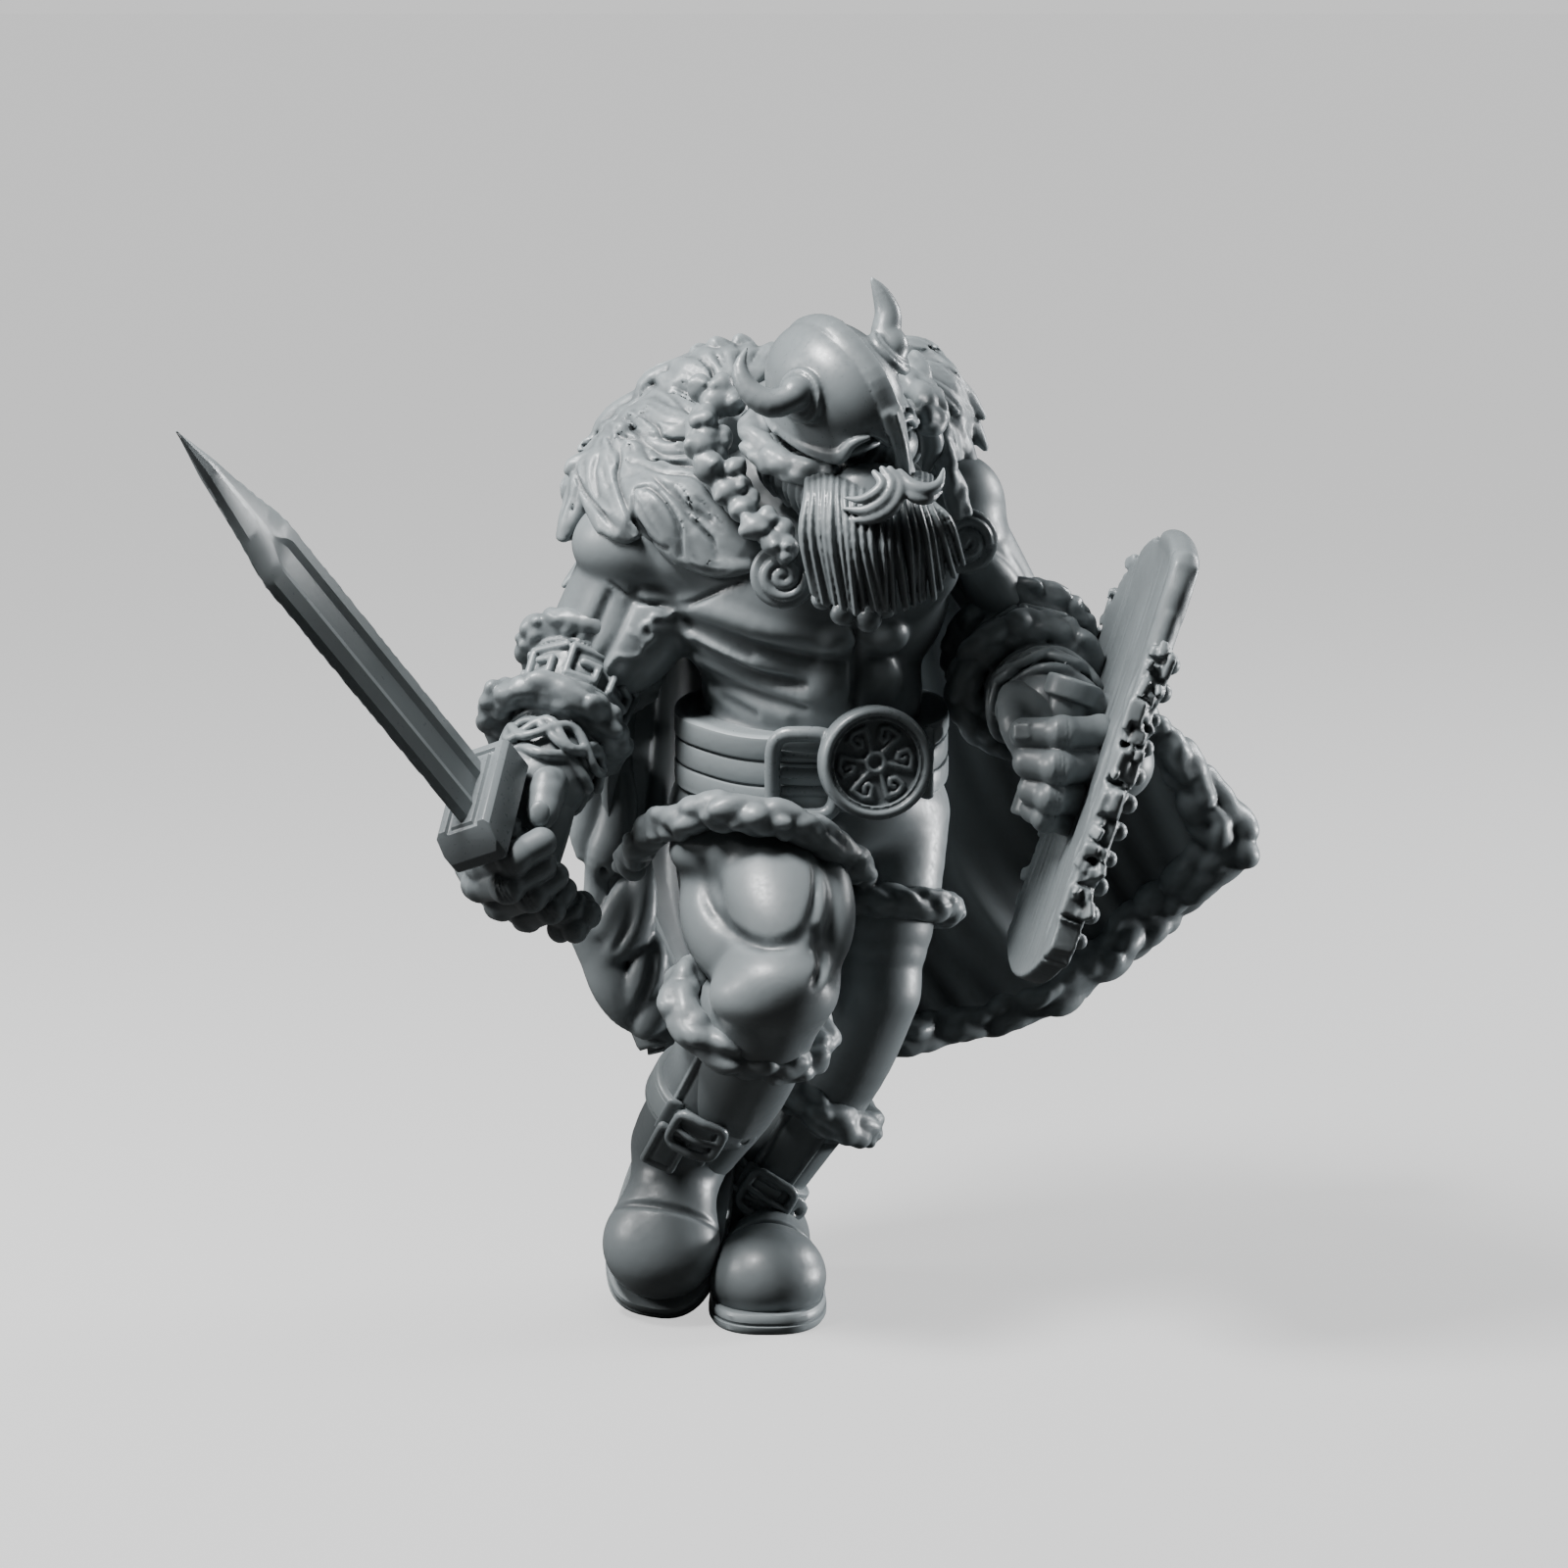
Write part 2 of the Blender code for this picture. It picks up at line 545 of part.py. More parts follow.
def shield_solid(centre, top, front):
    """The round board: whole along its top, and split off in steps along the grain at both sides."""
    rng = random.Random(7)
    outline = []
    for i in range(9):
        angle = math.radians(-30 + i * 8)
        outline.append((math.sin(angle) * SHIELD_RADIUS, math.cos(angle) * SHIELD_RADIUS))
    for side, share in ((1, 0.50), (-1, 0.60)):
        levels = [SHIELD_RADIUS * (0.74 - 0.17 * i) for i in range(10)][::side]
        for level in levels:
            reach = min(math.sqrt(1 - (level / SHIELD_RADIUS) ** 2), share) * SHIELD_RADIUS
            reach = side * reach * rng.uniform(0.9, 1.0)
            drop = rng.uniform(14, 17) * side
            outline.append((reach, level + drop))
            outline.append((reach + side * rng.uniform(4, 9), level - drop))
        if side > 0:
            outline.append((-10, -SHIELD_RADIUS * 0.98))
    return fill(outline, SHIELD_THICKNESS, turned(front.cross(top), front), centre)


def sole_solid(centre, forward, up, length):
    """A boot's sole: wider at the ball of the foot, with flat faces."""
    outline = []
    for i in range(28):
        angle = math.tau * i / 28
        along = math.copysign(abs(math.cos(angle)) ** 0.75, math.cos(angle))
        across = math.copysign(abs(math.sin(angle)) ** 0.75, math.sin(angle))
        width = SOLE_WIDTH / 2 * (0.88 + 0.12 * along)
        outline.append((across * width, along * length / 2))
    return fill(outline, SOLE_THICKNESS, turned(up, forward.cross(up)), centre + up * SOLE_THICKNESS / 2)


def belt_solid():
    """The broad belt, a raised band along each edge."""
    profile = ((40, 1.0), (34, 1.03), (22, 1.03), (18, 1.0), (-14, 1.0), (-18, 1.03), (-32, 1.03), (-38, 1.0))
    rings = []
    for height, size in profile:
        angles = [math.tau * i / 36 for i in range(36)]
        rings.append([(math.cos(a) * 137 * size, math.sin(a) * 112 * size, height) for a in angles])
    return stacked(rings, Matrix.Rotation(math.radians(8), 3, "X"), spot(28, 42, 12))


def buckle_solid():
    """The round buckle: a thick rim round a sunk face with a stud in the middle."""
    rings = []
    for height, radius in ((-26, 50), (4, 58), (13, 55), (13, 45), (6, 41), (6, 12), (14, 9)):
        angles = [math.tau * i / 24 for i in range(24)]
        rings.append([(math.cos(a) * radius, math.sin(a) * radius, height) for a in angles])
    return stacked(rings, turned(heading(0.22, -0.12, 1), UPWARD), spot(93, 22, -110))


def ground_solid():
    """A slab below the ground, to cut the feet flat."""
    slab = bmesh.new()
    bmesh.ops.create_cube(slab, size=1200, matrix=Matrix.Translation((0, 0, -600)))
    return slab


def held(shape, name):
    """The shape as an object that is joined to the figure, and isn't a piece by itself."""
    if shape.calc_volume(signed=True) < 0:
        bmesh.ops.reverse_faces(shape, faces=shape.faces)
    mesh = bpy.data.meshes.new(name)
    shape.to_mesh(mesh)
    shape.free()
    thing = bpy.data.objects.new(name, mesh)
    bpy.context.scene.collection.objects.link(thing)
    return thing


def merged(clay, name, voxel, triangles):
    """The clay's shapes as one skin, thinned to about so many triangles."""
    mesh = bpy.data.meshes.new(name)
    mesh.from_pydata(clay.points, [], clay.faces)
    thing = bpy.data.objects.new(name, mesh)
    bpy.context.scene.collection.objects.link(thing)
    skin = thing.modifiers.new("skin", "REMESH")
    skin.mode = "VOXEL"
    skin.voxel_size = voxel
    bake(thing)
    thin = thing.modifiers.new("thin", "DECIMATE")
    thin.ratio = triangles / (2 * len(thing.data.polygons))
    bake(thing)
    return thing


def combine(base, other, operation="UNION"):
    """Join the other shape to base, or cut base with it."""
    step = base.modifiers.new(other.name, "BOOLEAN")
    step.operation = operation
    step.solver = "MANIFOLD"
    step.object = other


def bake(figure):
    """Apply the figure's modifiers."""
    bpy.context.view_layer.update()
    solid = bpy.data.meshes.new_from_object(figure.evaluated_get(bpy.context.evaluated_depsgraph_get()))
    figure.modifiers.clear()
    figure.data = solid


def outer_skin(mesh):
    """Keep only the largest closed skin, which leaves no hollow inside the casting."""
    shape = bmesh.new()
    shape.from_mesh(mesh)
    left = set(shape.verts)
    skins = []
    while left:
        skin, edge = set(), [left.pop()]
        while edge:
            vert = edge.pop()
            skin.add(vert)
            near = {e.other_vert(vert) for e in vert.link_edges} & left
            left -= near
            edge.extend(near)
        skins.append(skin)
    largest = max(skins, key=len)
    bmesh.ops.delete(shape, geom=[v for v in shape.verts if v not in largest], context="VERTS")
    shape.to_mesh(mesh)
    shape.free()


def main():
    for thing in list(bpy.data.objects):
        bpy.data.objects.remove(thing)

    blade_tip = spot(-620, 360, -470)
    guard = spot(-308, -22, -175)
    blade_axis = (blade_tip - guard).normalized()
    width_axis = heading(0.144, 0.683, -0.72)
    width_axis = (width_axis - blade_axis * blade_axis.dot(width_axis)).normalized()
    pommel = guard - blade_axis * GRIP_LENGTH

    shield_top = heading(0.315, 0.949, 0)
    shield_front = heading(0.110, -0.035, 0.993)
    shield_out = shield_top.cross(shield_front)
    if shield_out.x < 0:
        shield_out = -shield_out
    shield_at = spot(323, 27, -140)
    handle = shield_at - shield_out * 48
    handle_top = handle + shield_top * 62
    handle_bottom = handle - shield_top * 100

    body, head, mantle, cape = Clay(), Clay(), Clay(), Clay()
    add_torso(body)
    add_sword_arm(body, guard, pommel)
    add_shield_arm(body, handle_top, handle_bottom)
    add_legs(body)
    for end in (handle_top - shield_top * 14, handle_bottom + shield_top * 14):
        limb(body, [end, end + shield_out * 44], [HANDLE_RADIUS * 0.8] * 2)
    ball(body, shield_at + shield_out * 14, (BOSS_RADIUS,) * 3)
    add_boot(body, Vector((0, 0, 0)), Vector((-2, 56, 84)), spot(38, -326, 70), AHEAD, LEVEL,
             [40, 39, 42, 46], (46, 48), seed=61)
    down = heading(-0.20, -0.86, 0.47)
    instep = heading(-0.05, 0.45, 0.88)
    instep = (instep - down * down.dot(instep)).normalized()
    right_sole = spot(-135, -543, -4) - down * SOLE_LENGTH * 0.45 + instep * 2
    right_ankle = right_sole - down * 50 + instep * 74
    add_boot(body, right_sole, right_ankle, spot(-36, -238, -106), down, instep,
             [50, 49, 52, 56], (76, 62), seed=62)
    add_head(head, spot(60, 405, -195))
    add_mantle(mantle)
    add_cape(cape)

    figure = merged(body, "viking_figure", BODY_VOXEL, BODY_TRIANGLES)
    combine(figure, merged(cape, "cape", CAPE_VOXEL, CAPE_TRIANGLES))
    combine(figure, merged(mantle, "mantle", MANTLE_VOXEL, MANTLE_TRIANGLES))
    combine(figure, merged(head, "head", HEAD_VOXEL, HEAD_TRIANGLES))
    combine(figure, held(blade_solid(guard, blade_tip, width_axis), "blade"))
    combine(figure, held(guard_solid(guard, blade_axis, width_axis), "guard"))
    combine(figure, held(shield_solid(shield_at, shield_top, shield_front), "board"))
    combine(figure, held(sole_solid(Vector((0, 0, 0)), AHEAD, LEVEL, SOLE_LENGTH), "left_sole"))
    combine(figure, held(sole_solid(right_sole, down, instep, SOLE_LENGTH * 0.92), "right_sole"))
    combine(figure, held(belt_solid(), "belt"))
    combine(figure, held(buckle_solid(), "buckle"))
    combine(figure, held(ground_solid(), "ground"), "DIFFERENCE")
    bake(figure)
    outer_skin(figure.data)
    figure.data.transform(Matrix.Scale(STEP, 4))
    for thing in list(bpy.data.objects):
        if thing is not figure:
            bpy.data.objects.remove(thing)

    resin = bpy.data.materials.new("grey_resin")
    resin.use_nodes = True
    shader = resin.node_tree.nodes["Principled BSDF"]
    shader.inputs["Base Color"].default_value = RESIN_GREY
    shader.inputs["Roughness"].default_value = 0.42
    shader.inputs["Metallic"].default_value = 0.0
    figure.data.materials.clear()
    figure.data.materials.append(resin)


main()
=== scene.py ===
"""The viking miniature, dressed: a charging warrior cast in one piece of grey resin.

Lengths are in steps, LAYOUT_STEPS of them to the figure's height, and points are mostly given as the
front view shows them: so many steps across, up, and behind the hips. +Y is the figure's back.
"""
import math
import random

import bmesh
import bpy
import numpy as np
from mathutils import Matrix, Vector


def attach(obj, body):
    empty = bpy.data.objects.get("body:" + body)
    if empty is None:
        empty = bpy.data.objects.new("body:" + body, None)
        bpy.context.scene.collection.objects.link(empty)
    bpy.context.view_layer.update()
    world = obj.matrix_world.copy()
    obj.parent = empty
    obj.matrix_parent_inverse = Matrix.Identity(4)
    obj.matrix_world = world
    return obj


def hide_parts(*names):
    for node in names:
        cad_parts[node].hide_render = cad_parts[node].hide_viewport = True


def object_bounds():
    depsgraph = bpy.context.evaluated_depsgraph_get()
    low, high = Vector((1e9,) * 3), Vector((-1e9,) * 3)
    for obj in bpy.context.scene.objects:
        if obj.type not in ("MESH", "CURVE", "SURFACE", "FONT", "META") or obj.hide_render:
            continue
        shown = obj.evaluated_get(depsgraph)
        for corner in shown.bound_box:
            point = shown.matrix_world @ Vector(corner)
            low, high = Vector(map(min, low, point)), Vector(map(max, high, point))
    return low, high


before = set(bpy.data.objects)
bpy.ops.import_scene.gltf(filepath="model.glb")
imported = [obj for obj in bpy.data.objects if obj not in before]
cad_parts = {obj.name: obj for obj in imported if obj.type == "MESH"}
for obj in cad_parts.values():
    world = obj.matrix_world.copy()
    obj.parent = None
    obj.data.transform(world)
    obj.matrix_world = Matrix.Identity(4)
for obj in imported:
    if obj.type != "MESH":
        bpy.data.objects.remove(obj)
cad_box = [list(corner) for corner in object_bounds()]

# The bare body: chest, stomach, shoulders and upper arms, cast as one skin. Its muscles are lumps of
# putty that melt into each other, and the veins and folds are pressed on and into the finished skin.

LAYOUT_STEPS = 1056
STEP = (cad_box[1][2] - cad_box[0][2]) / LAYOUT_STEPS
FRONT_TILT = math.radians(10)
FRONT_DISTANCE = 4500
SOLE_LENGTH = 252
FAR = 60.0

ACROSS = np.array((1.0, 0.0, 0.0))
AWAY = np.array((0.0, math.cos(FRONT_TILT), -math.sin(FRONT_TILT)))
UPWARD = np.array((0.0, math.sin(FRONT_TILT), math.cos(FRONT_TILT)))
LEVEL = np.array((0.0, 0.0, 1.0))
AHEAD = np.array((0.0, -1.0, 0.0))


def unit(vector):
    return vector / np.linalg.norm(vector)


def seen(across, up, behind):
    """The point that the front view shows there, at that depth, measured from the hips."""
    growth = 1 + behind / FRONT_DISTANCE
    return ACROSS * across * growth + UPWARD * up * growth + AWAY * behind


# The middle of the planted sole, which is the figure's origin, from the hips
SOLE_CENTRE = seen(-10, -563, -70) + np.array((-7, SOLE_LENGTH / 2, 0))


def spot(across, up, behind):
    """A point of the front view, from the figure's own origin."""
    return seen(across, up, behind) - SOLE_CENTRE


def spots(*points):
    return [spot(*point) for point in points]


def heading(across, up, towards):
    """A direction of the front view."""
    return unit(ACROSS * across + UPWARD * up - AWAY * towards)


def axes_of(axis, facing):
    """Three directions at right angles: near facing, to its side, and along the axis."""
    z = unit(axis)
    x = facing - z * z.dot(facing)
    if np.linalg.norm(x) < 1e-6:
        x = np.cross(z, (0.3, 0.5, 0.8))
    x = unit(x)
    return np.array((x, np.cross(z, x), z))


def curve_at(points, share):
    """The point at this share of a smooth curve through the points. They may be vectors or numbers."""
    last = len(points) - 1
    place = min(max(share, 0.0), 1.0) * last
    i = min(int(place), last - 1)
    t = place - i
    p1, p2 = points[i], points[i + 1]
    p0 = points[i - 1] if i else p1 * 2 - p2
    p3 = points[i + 2] if i + 2 <= last else p2 * 2 - p1
    bend = (p0 * 2 - p1 * 5 + p2 * 4 - p3) * t**2 + (p1 * 3 - p0 - p2 * 3 + p3) * t**3
    return (p1 * 2 + (p2 - p0) * t + bend) * 0.5


def oval_distance(local, sizes):
    """How far a point is from an oval surface, near enough for putty."""
    k0 = np.sqrt(((local / sizes) ** 2).sum(-1))
    k1 = np.sqrt(((local / sizes**2) ** 2).sum(-1))
    return k0 * (k0 - 1) / np.maximum(k1, 1e-6)


def melted(old, new, melt, cut):
    """Press a new lump on, or cut it out, with a soft join as wide as melt."""
    if cut:
        new = -new
        if not melt:
            return np.maximum(old, new)
        overlap = np.clip(melt - np.abs(old - new), 0, None)
        return np.maximum(old, new) + overlap**2 / (4 * melt)
    if not melt:
        return np.minimum(old, new)
    overlap = np.where((old < FAR / 2) & (new < FAR / 2), np.clip(melt - np.abs(old - new), 0, None), 0)
    return np.minimum(old, new) - overlap**2 / (4 * melt)


class Clay:
    """Rounded shapes pressed together. Each has a reach, a distance from its surface and a soft join."""

    def __init__(self, voxel):
        self.voxel = voxel
        self.lumps = []

    def ball(self, centre, radii, axes=None, melt=6, cut=False):
        """An oval."""
        axes = np.eye(3) if axes is None else axes
        sizes = np.ones(3) * radii
        reach = np.sqrt(((axes.T * sizes) ** 2).sum(1))

        def distance(points):
            return oval_distance((points - centre) @ axes.T, sizes)

        self.lumps.append(([(centre - reach, centre + reach, distance)], melt, cut))

    def form(self, start, end, thick, wide=None, facing=AHEAD, melt=6, cut=False):
        """An oval from start to end, such as a muscle. thick is half its depth along facing."""
        sizes = (thick, wide or thick, np.linalg.norm(end - start) / 2)
        self.ball((start + end) / 2, sizes, axes_of(end - start, facing), melt, cut)

    def strand(self, points, thick, wide=None, facing=UPWARD, melt=3, cut=False, pieces=8, smooth=True):
        """A long shape along a curve, or straight from point to point, with rounded ends."""
        thick = [float(size) for size in (thick if isinstance(thick, (list, tuple)) else [thick, thick])]
        wide = thick if wide is None else wide
        wide = [float(size) for size in (wide if isinstance(wide, (list, tuple)) else [wide, wide])]
        if not smooth:
            pieces = len(points) - 1
        shares = [i / pieces for i in range(pieces + 1)]
        line = [curve_at(points, share) for share in shares] if smooth else points
        sizes = [(max(curve_at(thick, s), 0.6), max(curve_at(wide, s), 0.6)) for s in shares]
        parts = [link(*ends) for ends in zip(line, line[1:], sizes, sizes[1:], [facing] * pieces)]
        self.lumps.append((parts, melt, cut))

    def limb(self, points, radii, melt=8, cut=False):
        self.strand(points, radii, melt=melt, cut=cut)

    def block(self, centre, half, axes, corner=3, melt=2, cut=False):
        """A box with rounded corners."""
        half = np.array(half, float)
        reach = np.abs(axes.T * half).sum(1)

        def distance(points):
            over = np.abs((points - centre) @ axes.T) - (half - corner)
            outer = np.sqrt((np.maximum(over, 0) ** 2).sum(-1))
            return outer + np.minimum(over.max(-1), 0) - corner

        self.lumps.append(([(centre - reach, centre + reach, distance)], melt, cut))

    def disc(self, centre, axes, radius, half, corner=2, melt=2, cut=False):
        """A round plate with rounded edges, flat across the third axis."""
        reach = np.abs(axes.T * (radius, radius, half)).sum(1)

        def distance(points):
            local = (points - centre) @ axes.T
            out = np.sqrt(local[..., 0] ** 2 + local[..., 1] ** 2) - (radius - corner)
            high = np.abs(local[..., 2]) - (half - corner)
            outer = np.sqrt(np.maximum(out, 0) ** 2 + np.maximum(high, 0) ** 2)
            return outer + np.minimum(np.maximum(out, high), 0) - corner

        self.lumps.append(([(centre - reach, centre + reach, distance)], melt, cut))

    def field_at(self, points):
        """The distance of each point from the finished skin: negative inside."""
        field = np.full(len(points), FAR)
        for parts, melt, cut in self.lumps:
            nearest = np.min([distance(points) for _, _, distance in parts], axis=0)
            field = melted(field, nearest, melt, cut)
        return field

    def front(self, across, up, lift=0.0):
        """The point of the skin that the front view shows there, lifted towards the viewer."""
        depths = np.arange(-420.0, 320.0, 2.0)
        inside = np.flatnonzero(self.field_at(np.array([spot(across, up, d) for d in depths])) < 0)
        depth = depths[inside[0]] if len(inside) else 0.0
        return spot(across, up, depth - lift)

    def meet(self, start, towards):
        """Where a straight line from the start first meets the skin."""
        steps = np.arange(0.0, 400.0, 2.0)
        inside = np.flatnonzero(self.field_at(start + towards * steps[:, None]) < 0)
        return start + towards * steps[inside[0]] if len(inside) else None

    def window(self, low, high, corner, shape):
        """Where a box lies in the grid of samples."""
        first = np.floor((low - corner) / self.voxel).astype(int)
        last = np.ceil((high - corner) / self.voxel).astype(int) + 1
        return np.clip(first, 0, shape), np.clip(last, 0, shape)

    def press(self):
        """Sample the distance to the skin on a grid that holds all the lumps."""
        margin = 3 * self.voxel
        solid = [part for parts, _, cut in self.lumps if not cut for part in parts]
        corner = np.min([part[0] for part in solid], axis=0) - margin - 4
        size = np.max([part[1] for part in solid], axis=0) + margin + 4 - corner
        shape = np.ceil(size / self.voxel).astype(int) + 1
        field = np.full(shape, FAR, np.float32)
        for parts, melt, cut in self.lumps:
            grown = melt + margin
            low = np.min([part[0] for part in parts], axis=0) - grown
            high = np.max([part[1] for part in parts], axis=0) + grown
            first, last = self.window(low, high, corner, shape)
            if (last <= first).any():
                continue
            near = np.full(last - first, FAR, np.float32)
            for part_low, part_high, distance in parts:
                a, b = self.window(part_low - grown, part_high + grown, corner, shape)
                if (b <= a).any():
                    continue
                steps = [corner[k] + self.voxel * np.arange(a[k], b[k]) for k in range(3)]
                grid = np.stack(np.meshgrid(*steps, indexing="ij"), -1).astype(np.float32)
                place = tuple(slice(a[k] - first[k], b[k] - first[k]) for k in range(3))
                near[place] = np.minimum(near[place], distance(grid))
            place = tuple(slice(first[k], last[k]) for k in range(3))
            field[place] = melted(field[place], near, melt, cut)
        return field, corner

    def skin(self):
        """The surface of everything pressed together, as points and four-sided faces."""
        field, corner = self.press()
        inside = field < 0
        shape = np.array(field.shape)
        offsets = [(i, j, k) for i in (0, 1) for j in (0, 1) for k in (0, 1)]
        count = np.zeros(shape - 1, np.int8)
        for i, j, k in offsets:
            count += inside[i : shape[0] - 1 + i, j : shape[1] - 1 + j, k : shape[2] - 1 + k]
        cells = np.argwhere((count > 0) & (count < 8))
        values = [field[tuple((cells + offset).T)] for offset in offsets]
        total = np.zeros((len(cells), 3))
        crossings = np.zeros(len(cells))
        for m, start in enumerate(offsets):
            for n, end in enumerate(offsets):
                if n > m and np.abs(np.subtract(end, start)).sum() == 1:
                    crossed = (values[m] < 0) != (values[n] < 0)
                    share = values[m][crossed] / (values[m][crossed] - values[n][crossed])
                    total[crossed] += start + share[:, None] * np.subtract(end, start)
                    crossings[crossed] += 1
        points = (cells + total / crossings[:, None]) * self.voxel + corner
        number = np.zeros(shape - 1, int)
        number[tuple(cells.T)] = np.arange(len(cells))
        quads = []
        for axis in range(3):
            u, v = (axis + 1) % 3, (axis + 2) % 3
            lower = np.take(inside, range(shape[axis] - 1), axis)
            upper = np.take(inside, range(1, shape[axis]), axis)
            crossed = np.argwhere(lower != upper)
            ring = []
            for du, dv in ((-1, -1), (0, -1), (0, 0), (-1, 0)):
                cell = crossed.copy()
                cell[:, u] += du
                cell[:, v] += dv
                ring.append(number[tuple(cell.T)])
            faces = np.stack(ring, 1)
            inward = ~lower[tuple(crossed.T)]
            faces[inward] = faces[inward][:, ::-1]
            quads.append(faces)
        return points, np.concatenate(quads)


def link(start, end, start_size, end_size, facing):
    """A straight stretch of a strand, which may taper and may be flat."""
    length = max(np.linalg.norm(end - start), 1e-3)
    axes = axes_of(end - start, facing)
    biggest = max(*start_size, *end_size)

    def distance(points):
        local = (points - start) @ axes.T
        along = np.clip(local[..., 2] / length, 0, 1)
        thick = start_size[0] + (end_size[0] - start_size[0]) * along
        wide = start_size[1] + (end_size[1] - start_size[1]) * along
        beyond = local[..., 2] - along * length
        sizes = np.stack((thick, wide, np.minimum(thick, wide)), -1)
        return oval_distance(np.stack((local[..., 0], local[..., 1], beyond), -1), sizes)

    return np.minimum(start, end) - biggest, np.maximum(start, end) + biggest, distance


def neighbours(count, faces):
    """The pairs of points that share an edge, both ways round, and how many each point has."""
    pairs = np.concatenate([faces[:, [i, (i + 1) % faces.shape[1]]] for i in range(faces.shape[1])])
    pairs = np.unique(np.sort(pairs, 1), axis=0)
    pairs = np.concatenate((pairs, pairs[:, ::-1]))
    return pairs, np.maximum(np.bincount(pairs[:, 0], minlength=count), 1)


def settled(values, pairs, shares, rounds, pull):
    """Draw each value towards the mean of its neighbours, so many times."""
    values = values.copy()
    for _ in range(rounds):
        for k in range(values.shape[1]):
            mean = np.bincount(pairs[:, 0], values[pairs[:, 1], k], len(values)) / shares
            values[:, k] += (mean - values[:, k]) * pull
    return values


def mark_relief(mesh, reach):
    """Write how far each point stands out of, or lies below, what is round it: 0.5 is level. The resin takes painted
    shade from what lies below and a painted highlight from what stands out.
    """
    count = len(mesh.vertices)
    points = np.empty(count * 3)
    mesh.vertices.foreach_get("co", points)
    points = points.reshape(-1, 3) / STEP
    normals = np.empty(count * 3)
    mesh.vertices.foreach_get("normal", normals)
    edges = np.empty(len(mesh.edges) * 2, int)
    mesh.edges.foreach_get("vertices", edges)
    pairs = np.concatenate((edges.reshape(-1, 2), edges.reshape(-1, 2)[:, ::-1]))
    shares = np.maximum(np.bincount(pairs[:, 0], minlength=count), 1)
    smooth = settled(points, pairs, shares, reach, 0.7)
    proud = ((points - smooth) * normals.reshape(-1, 3)).sum(1)
    proud = settled(proud[:, None], pairs, shares, 1, 0.5)[:, 0]
    # This relief is the mask for the painted shade in the hollows and the painted highlight on the edges
    relief = mesh.attributes.new("relief", "FLOAT", "POINT")
    relief.data.foreach_set("value", np.clip(0.5 + proud * 0.22, 0, 1).astype(np.float32))


def resin_group():
    """The look that every surface shares: painted shade darkens the hollows, a painted highlight pales what stands out,
    and the tone is mottled.
    """
    group = bpy.data.node_groups.new("resin_with_painted_shade", "ShaderNodeTree")
    face = group.interface
    # A near-black painted shade for the hollows, the resin's own level colour, and a pale painted highlight for what
    # stands out
    for name, kind, value in (
        ("Painted_hollow_shade", "NodeSocketColor", (0.02, 0.024, 0.026, 1)),
        ("Level", "NodeSocketColor", (0.145, 0.163, 0.17, 1)),
        ("Painted_edge_highlight", "NodeSocketColor", (0.26, 0.29, 0.30, 1)),
        ("Mottle", "NodeSocketFloat", 0.05),
        ("Gloss", "NodeSocketFloat", 0.38),
        ("Spread", "NodeSocketFloat", 0.08),
    ):
        socket = face.new_socket(name, in_out="INPUT", socket_type=kind)
        socket.default_value = value
    face.new_socket("Color", in_out="OUTPUT", socket_type="NodeSocketColor")
    face.new_socket("Roughness", in_out="OUTPUT", socket_type="NodeSocketFloat")
    face.new_socket("Grain", in_out="OUTPUT", socket_type="NodeSocketFloat")
    nodes, links = group.nodes, group.links
    start = nodes.new("NodeGroupInput")
    end = nodes.new("NodeGroupOutput")
    relief = nodes.new("ShaderNodeAttribute")
    relief.attribute_name = "relief"
    place = nodes.new("ShaderNodeTexCoord")
    cloud = nodes.new("ShaderNodeTexNoise")
    cloud.inputs["Scale"].default_value = 140
    cloud.inputs["Detail"].default_value = 3
    links.new(place.outputs["Object"], cloud.inputs["Vector"])
    grain = nodes.new("ShaderNodeTexNoise")
    grain.inputs["Scale"].default_value = 2600
    grain.inputs["Detail"].default_value = 2
    links.new(place.outputs["Object"], grain.inputs["Vector"])

    def ranged(source, low, high, to_low, to_high):
        node = nodes.new("ShaderNodeMapRange")
        node.inputs["From Min"].default_value = low
        node.inputs["From Max"].default_value = high
        node.inputs["To Min"].default_value = to_low
        node.inputs["To Max"].default_value = to_high
        links.new(source, node.inputs["Value"])
        return node.outputs["Result"]

    def blended(share, dark, light):
        node = nodes.new("ShaderNodeMix")
        node.data_type = "RGBA"
        links.new(share, node.inputs["Factor"])
        links.new(dark, node.inputs["A"])
        links.new(light, node.inputs["B"])
        return node.outputs["Result"]

    # Painted shade: the lower the relief, the nearer the colour goes to the near-black hollow shade; painted highlight:
    # the prouder, the paler
    below = ranged(relief.outputs["Fac"], 0.12, 0.5, 0, 1)
    above = ranged(relief.outputs["Fac"], 0.5, 0.92, 0, 1)
    colour = blended(below, start.outputs["Painted_hollow_shade"], start.outputs["Level"])
    colour = blended(above, colour, start.outputs["Painted_edge_highlight"])
    shift = nodes.new("ShaderNodeMath")
    shift.operation = "MULTIPLY_ADD"
    links.new(ranged(cloud.outputs["Fac"], 0.3, 0.7, -1, 1), shift.inputs[0])
    links.new(start.outputs["Mottle"], shift.inputs[1])
    shift.inputs[2].default_value = 1.0
    tint = nodes.new("ShaderNodeHueSaturation")
    links.new(colour, tint.inputs["Color"])
    links.new(shift.outputs[0], tint.inputs["Value"])
    links.new(tint.outputs["Color"], end.inputs["Color"])
    gloss = nodes.new("ShaderNodeMath")
    gloss.operation = "MULTIPLY_ADD"
    links.new(ranged(grain.outputs["Fac"], 0.25, 0.75, -1, 1), gloss.inputs[0])
    links.new(start.outputs["Spread"], gloss.inputs[1])
    links.new(start.outputs["Gloss"], gloss.inputs[2])
    links.new(gloss.outputs[0], end.inputs["Roughness"])
    links.new(grain.outputs["Fac"], end.inputs["Grain"])
    return group


RESIN = resin_group()


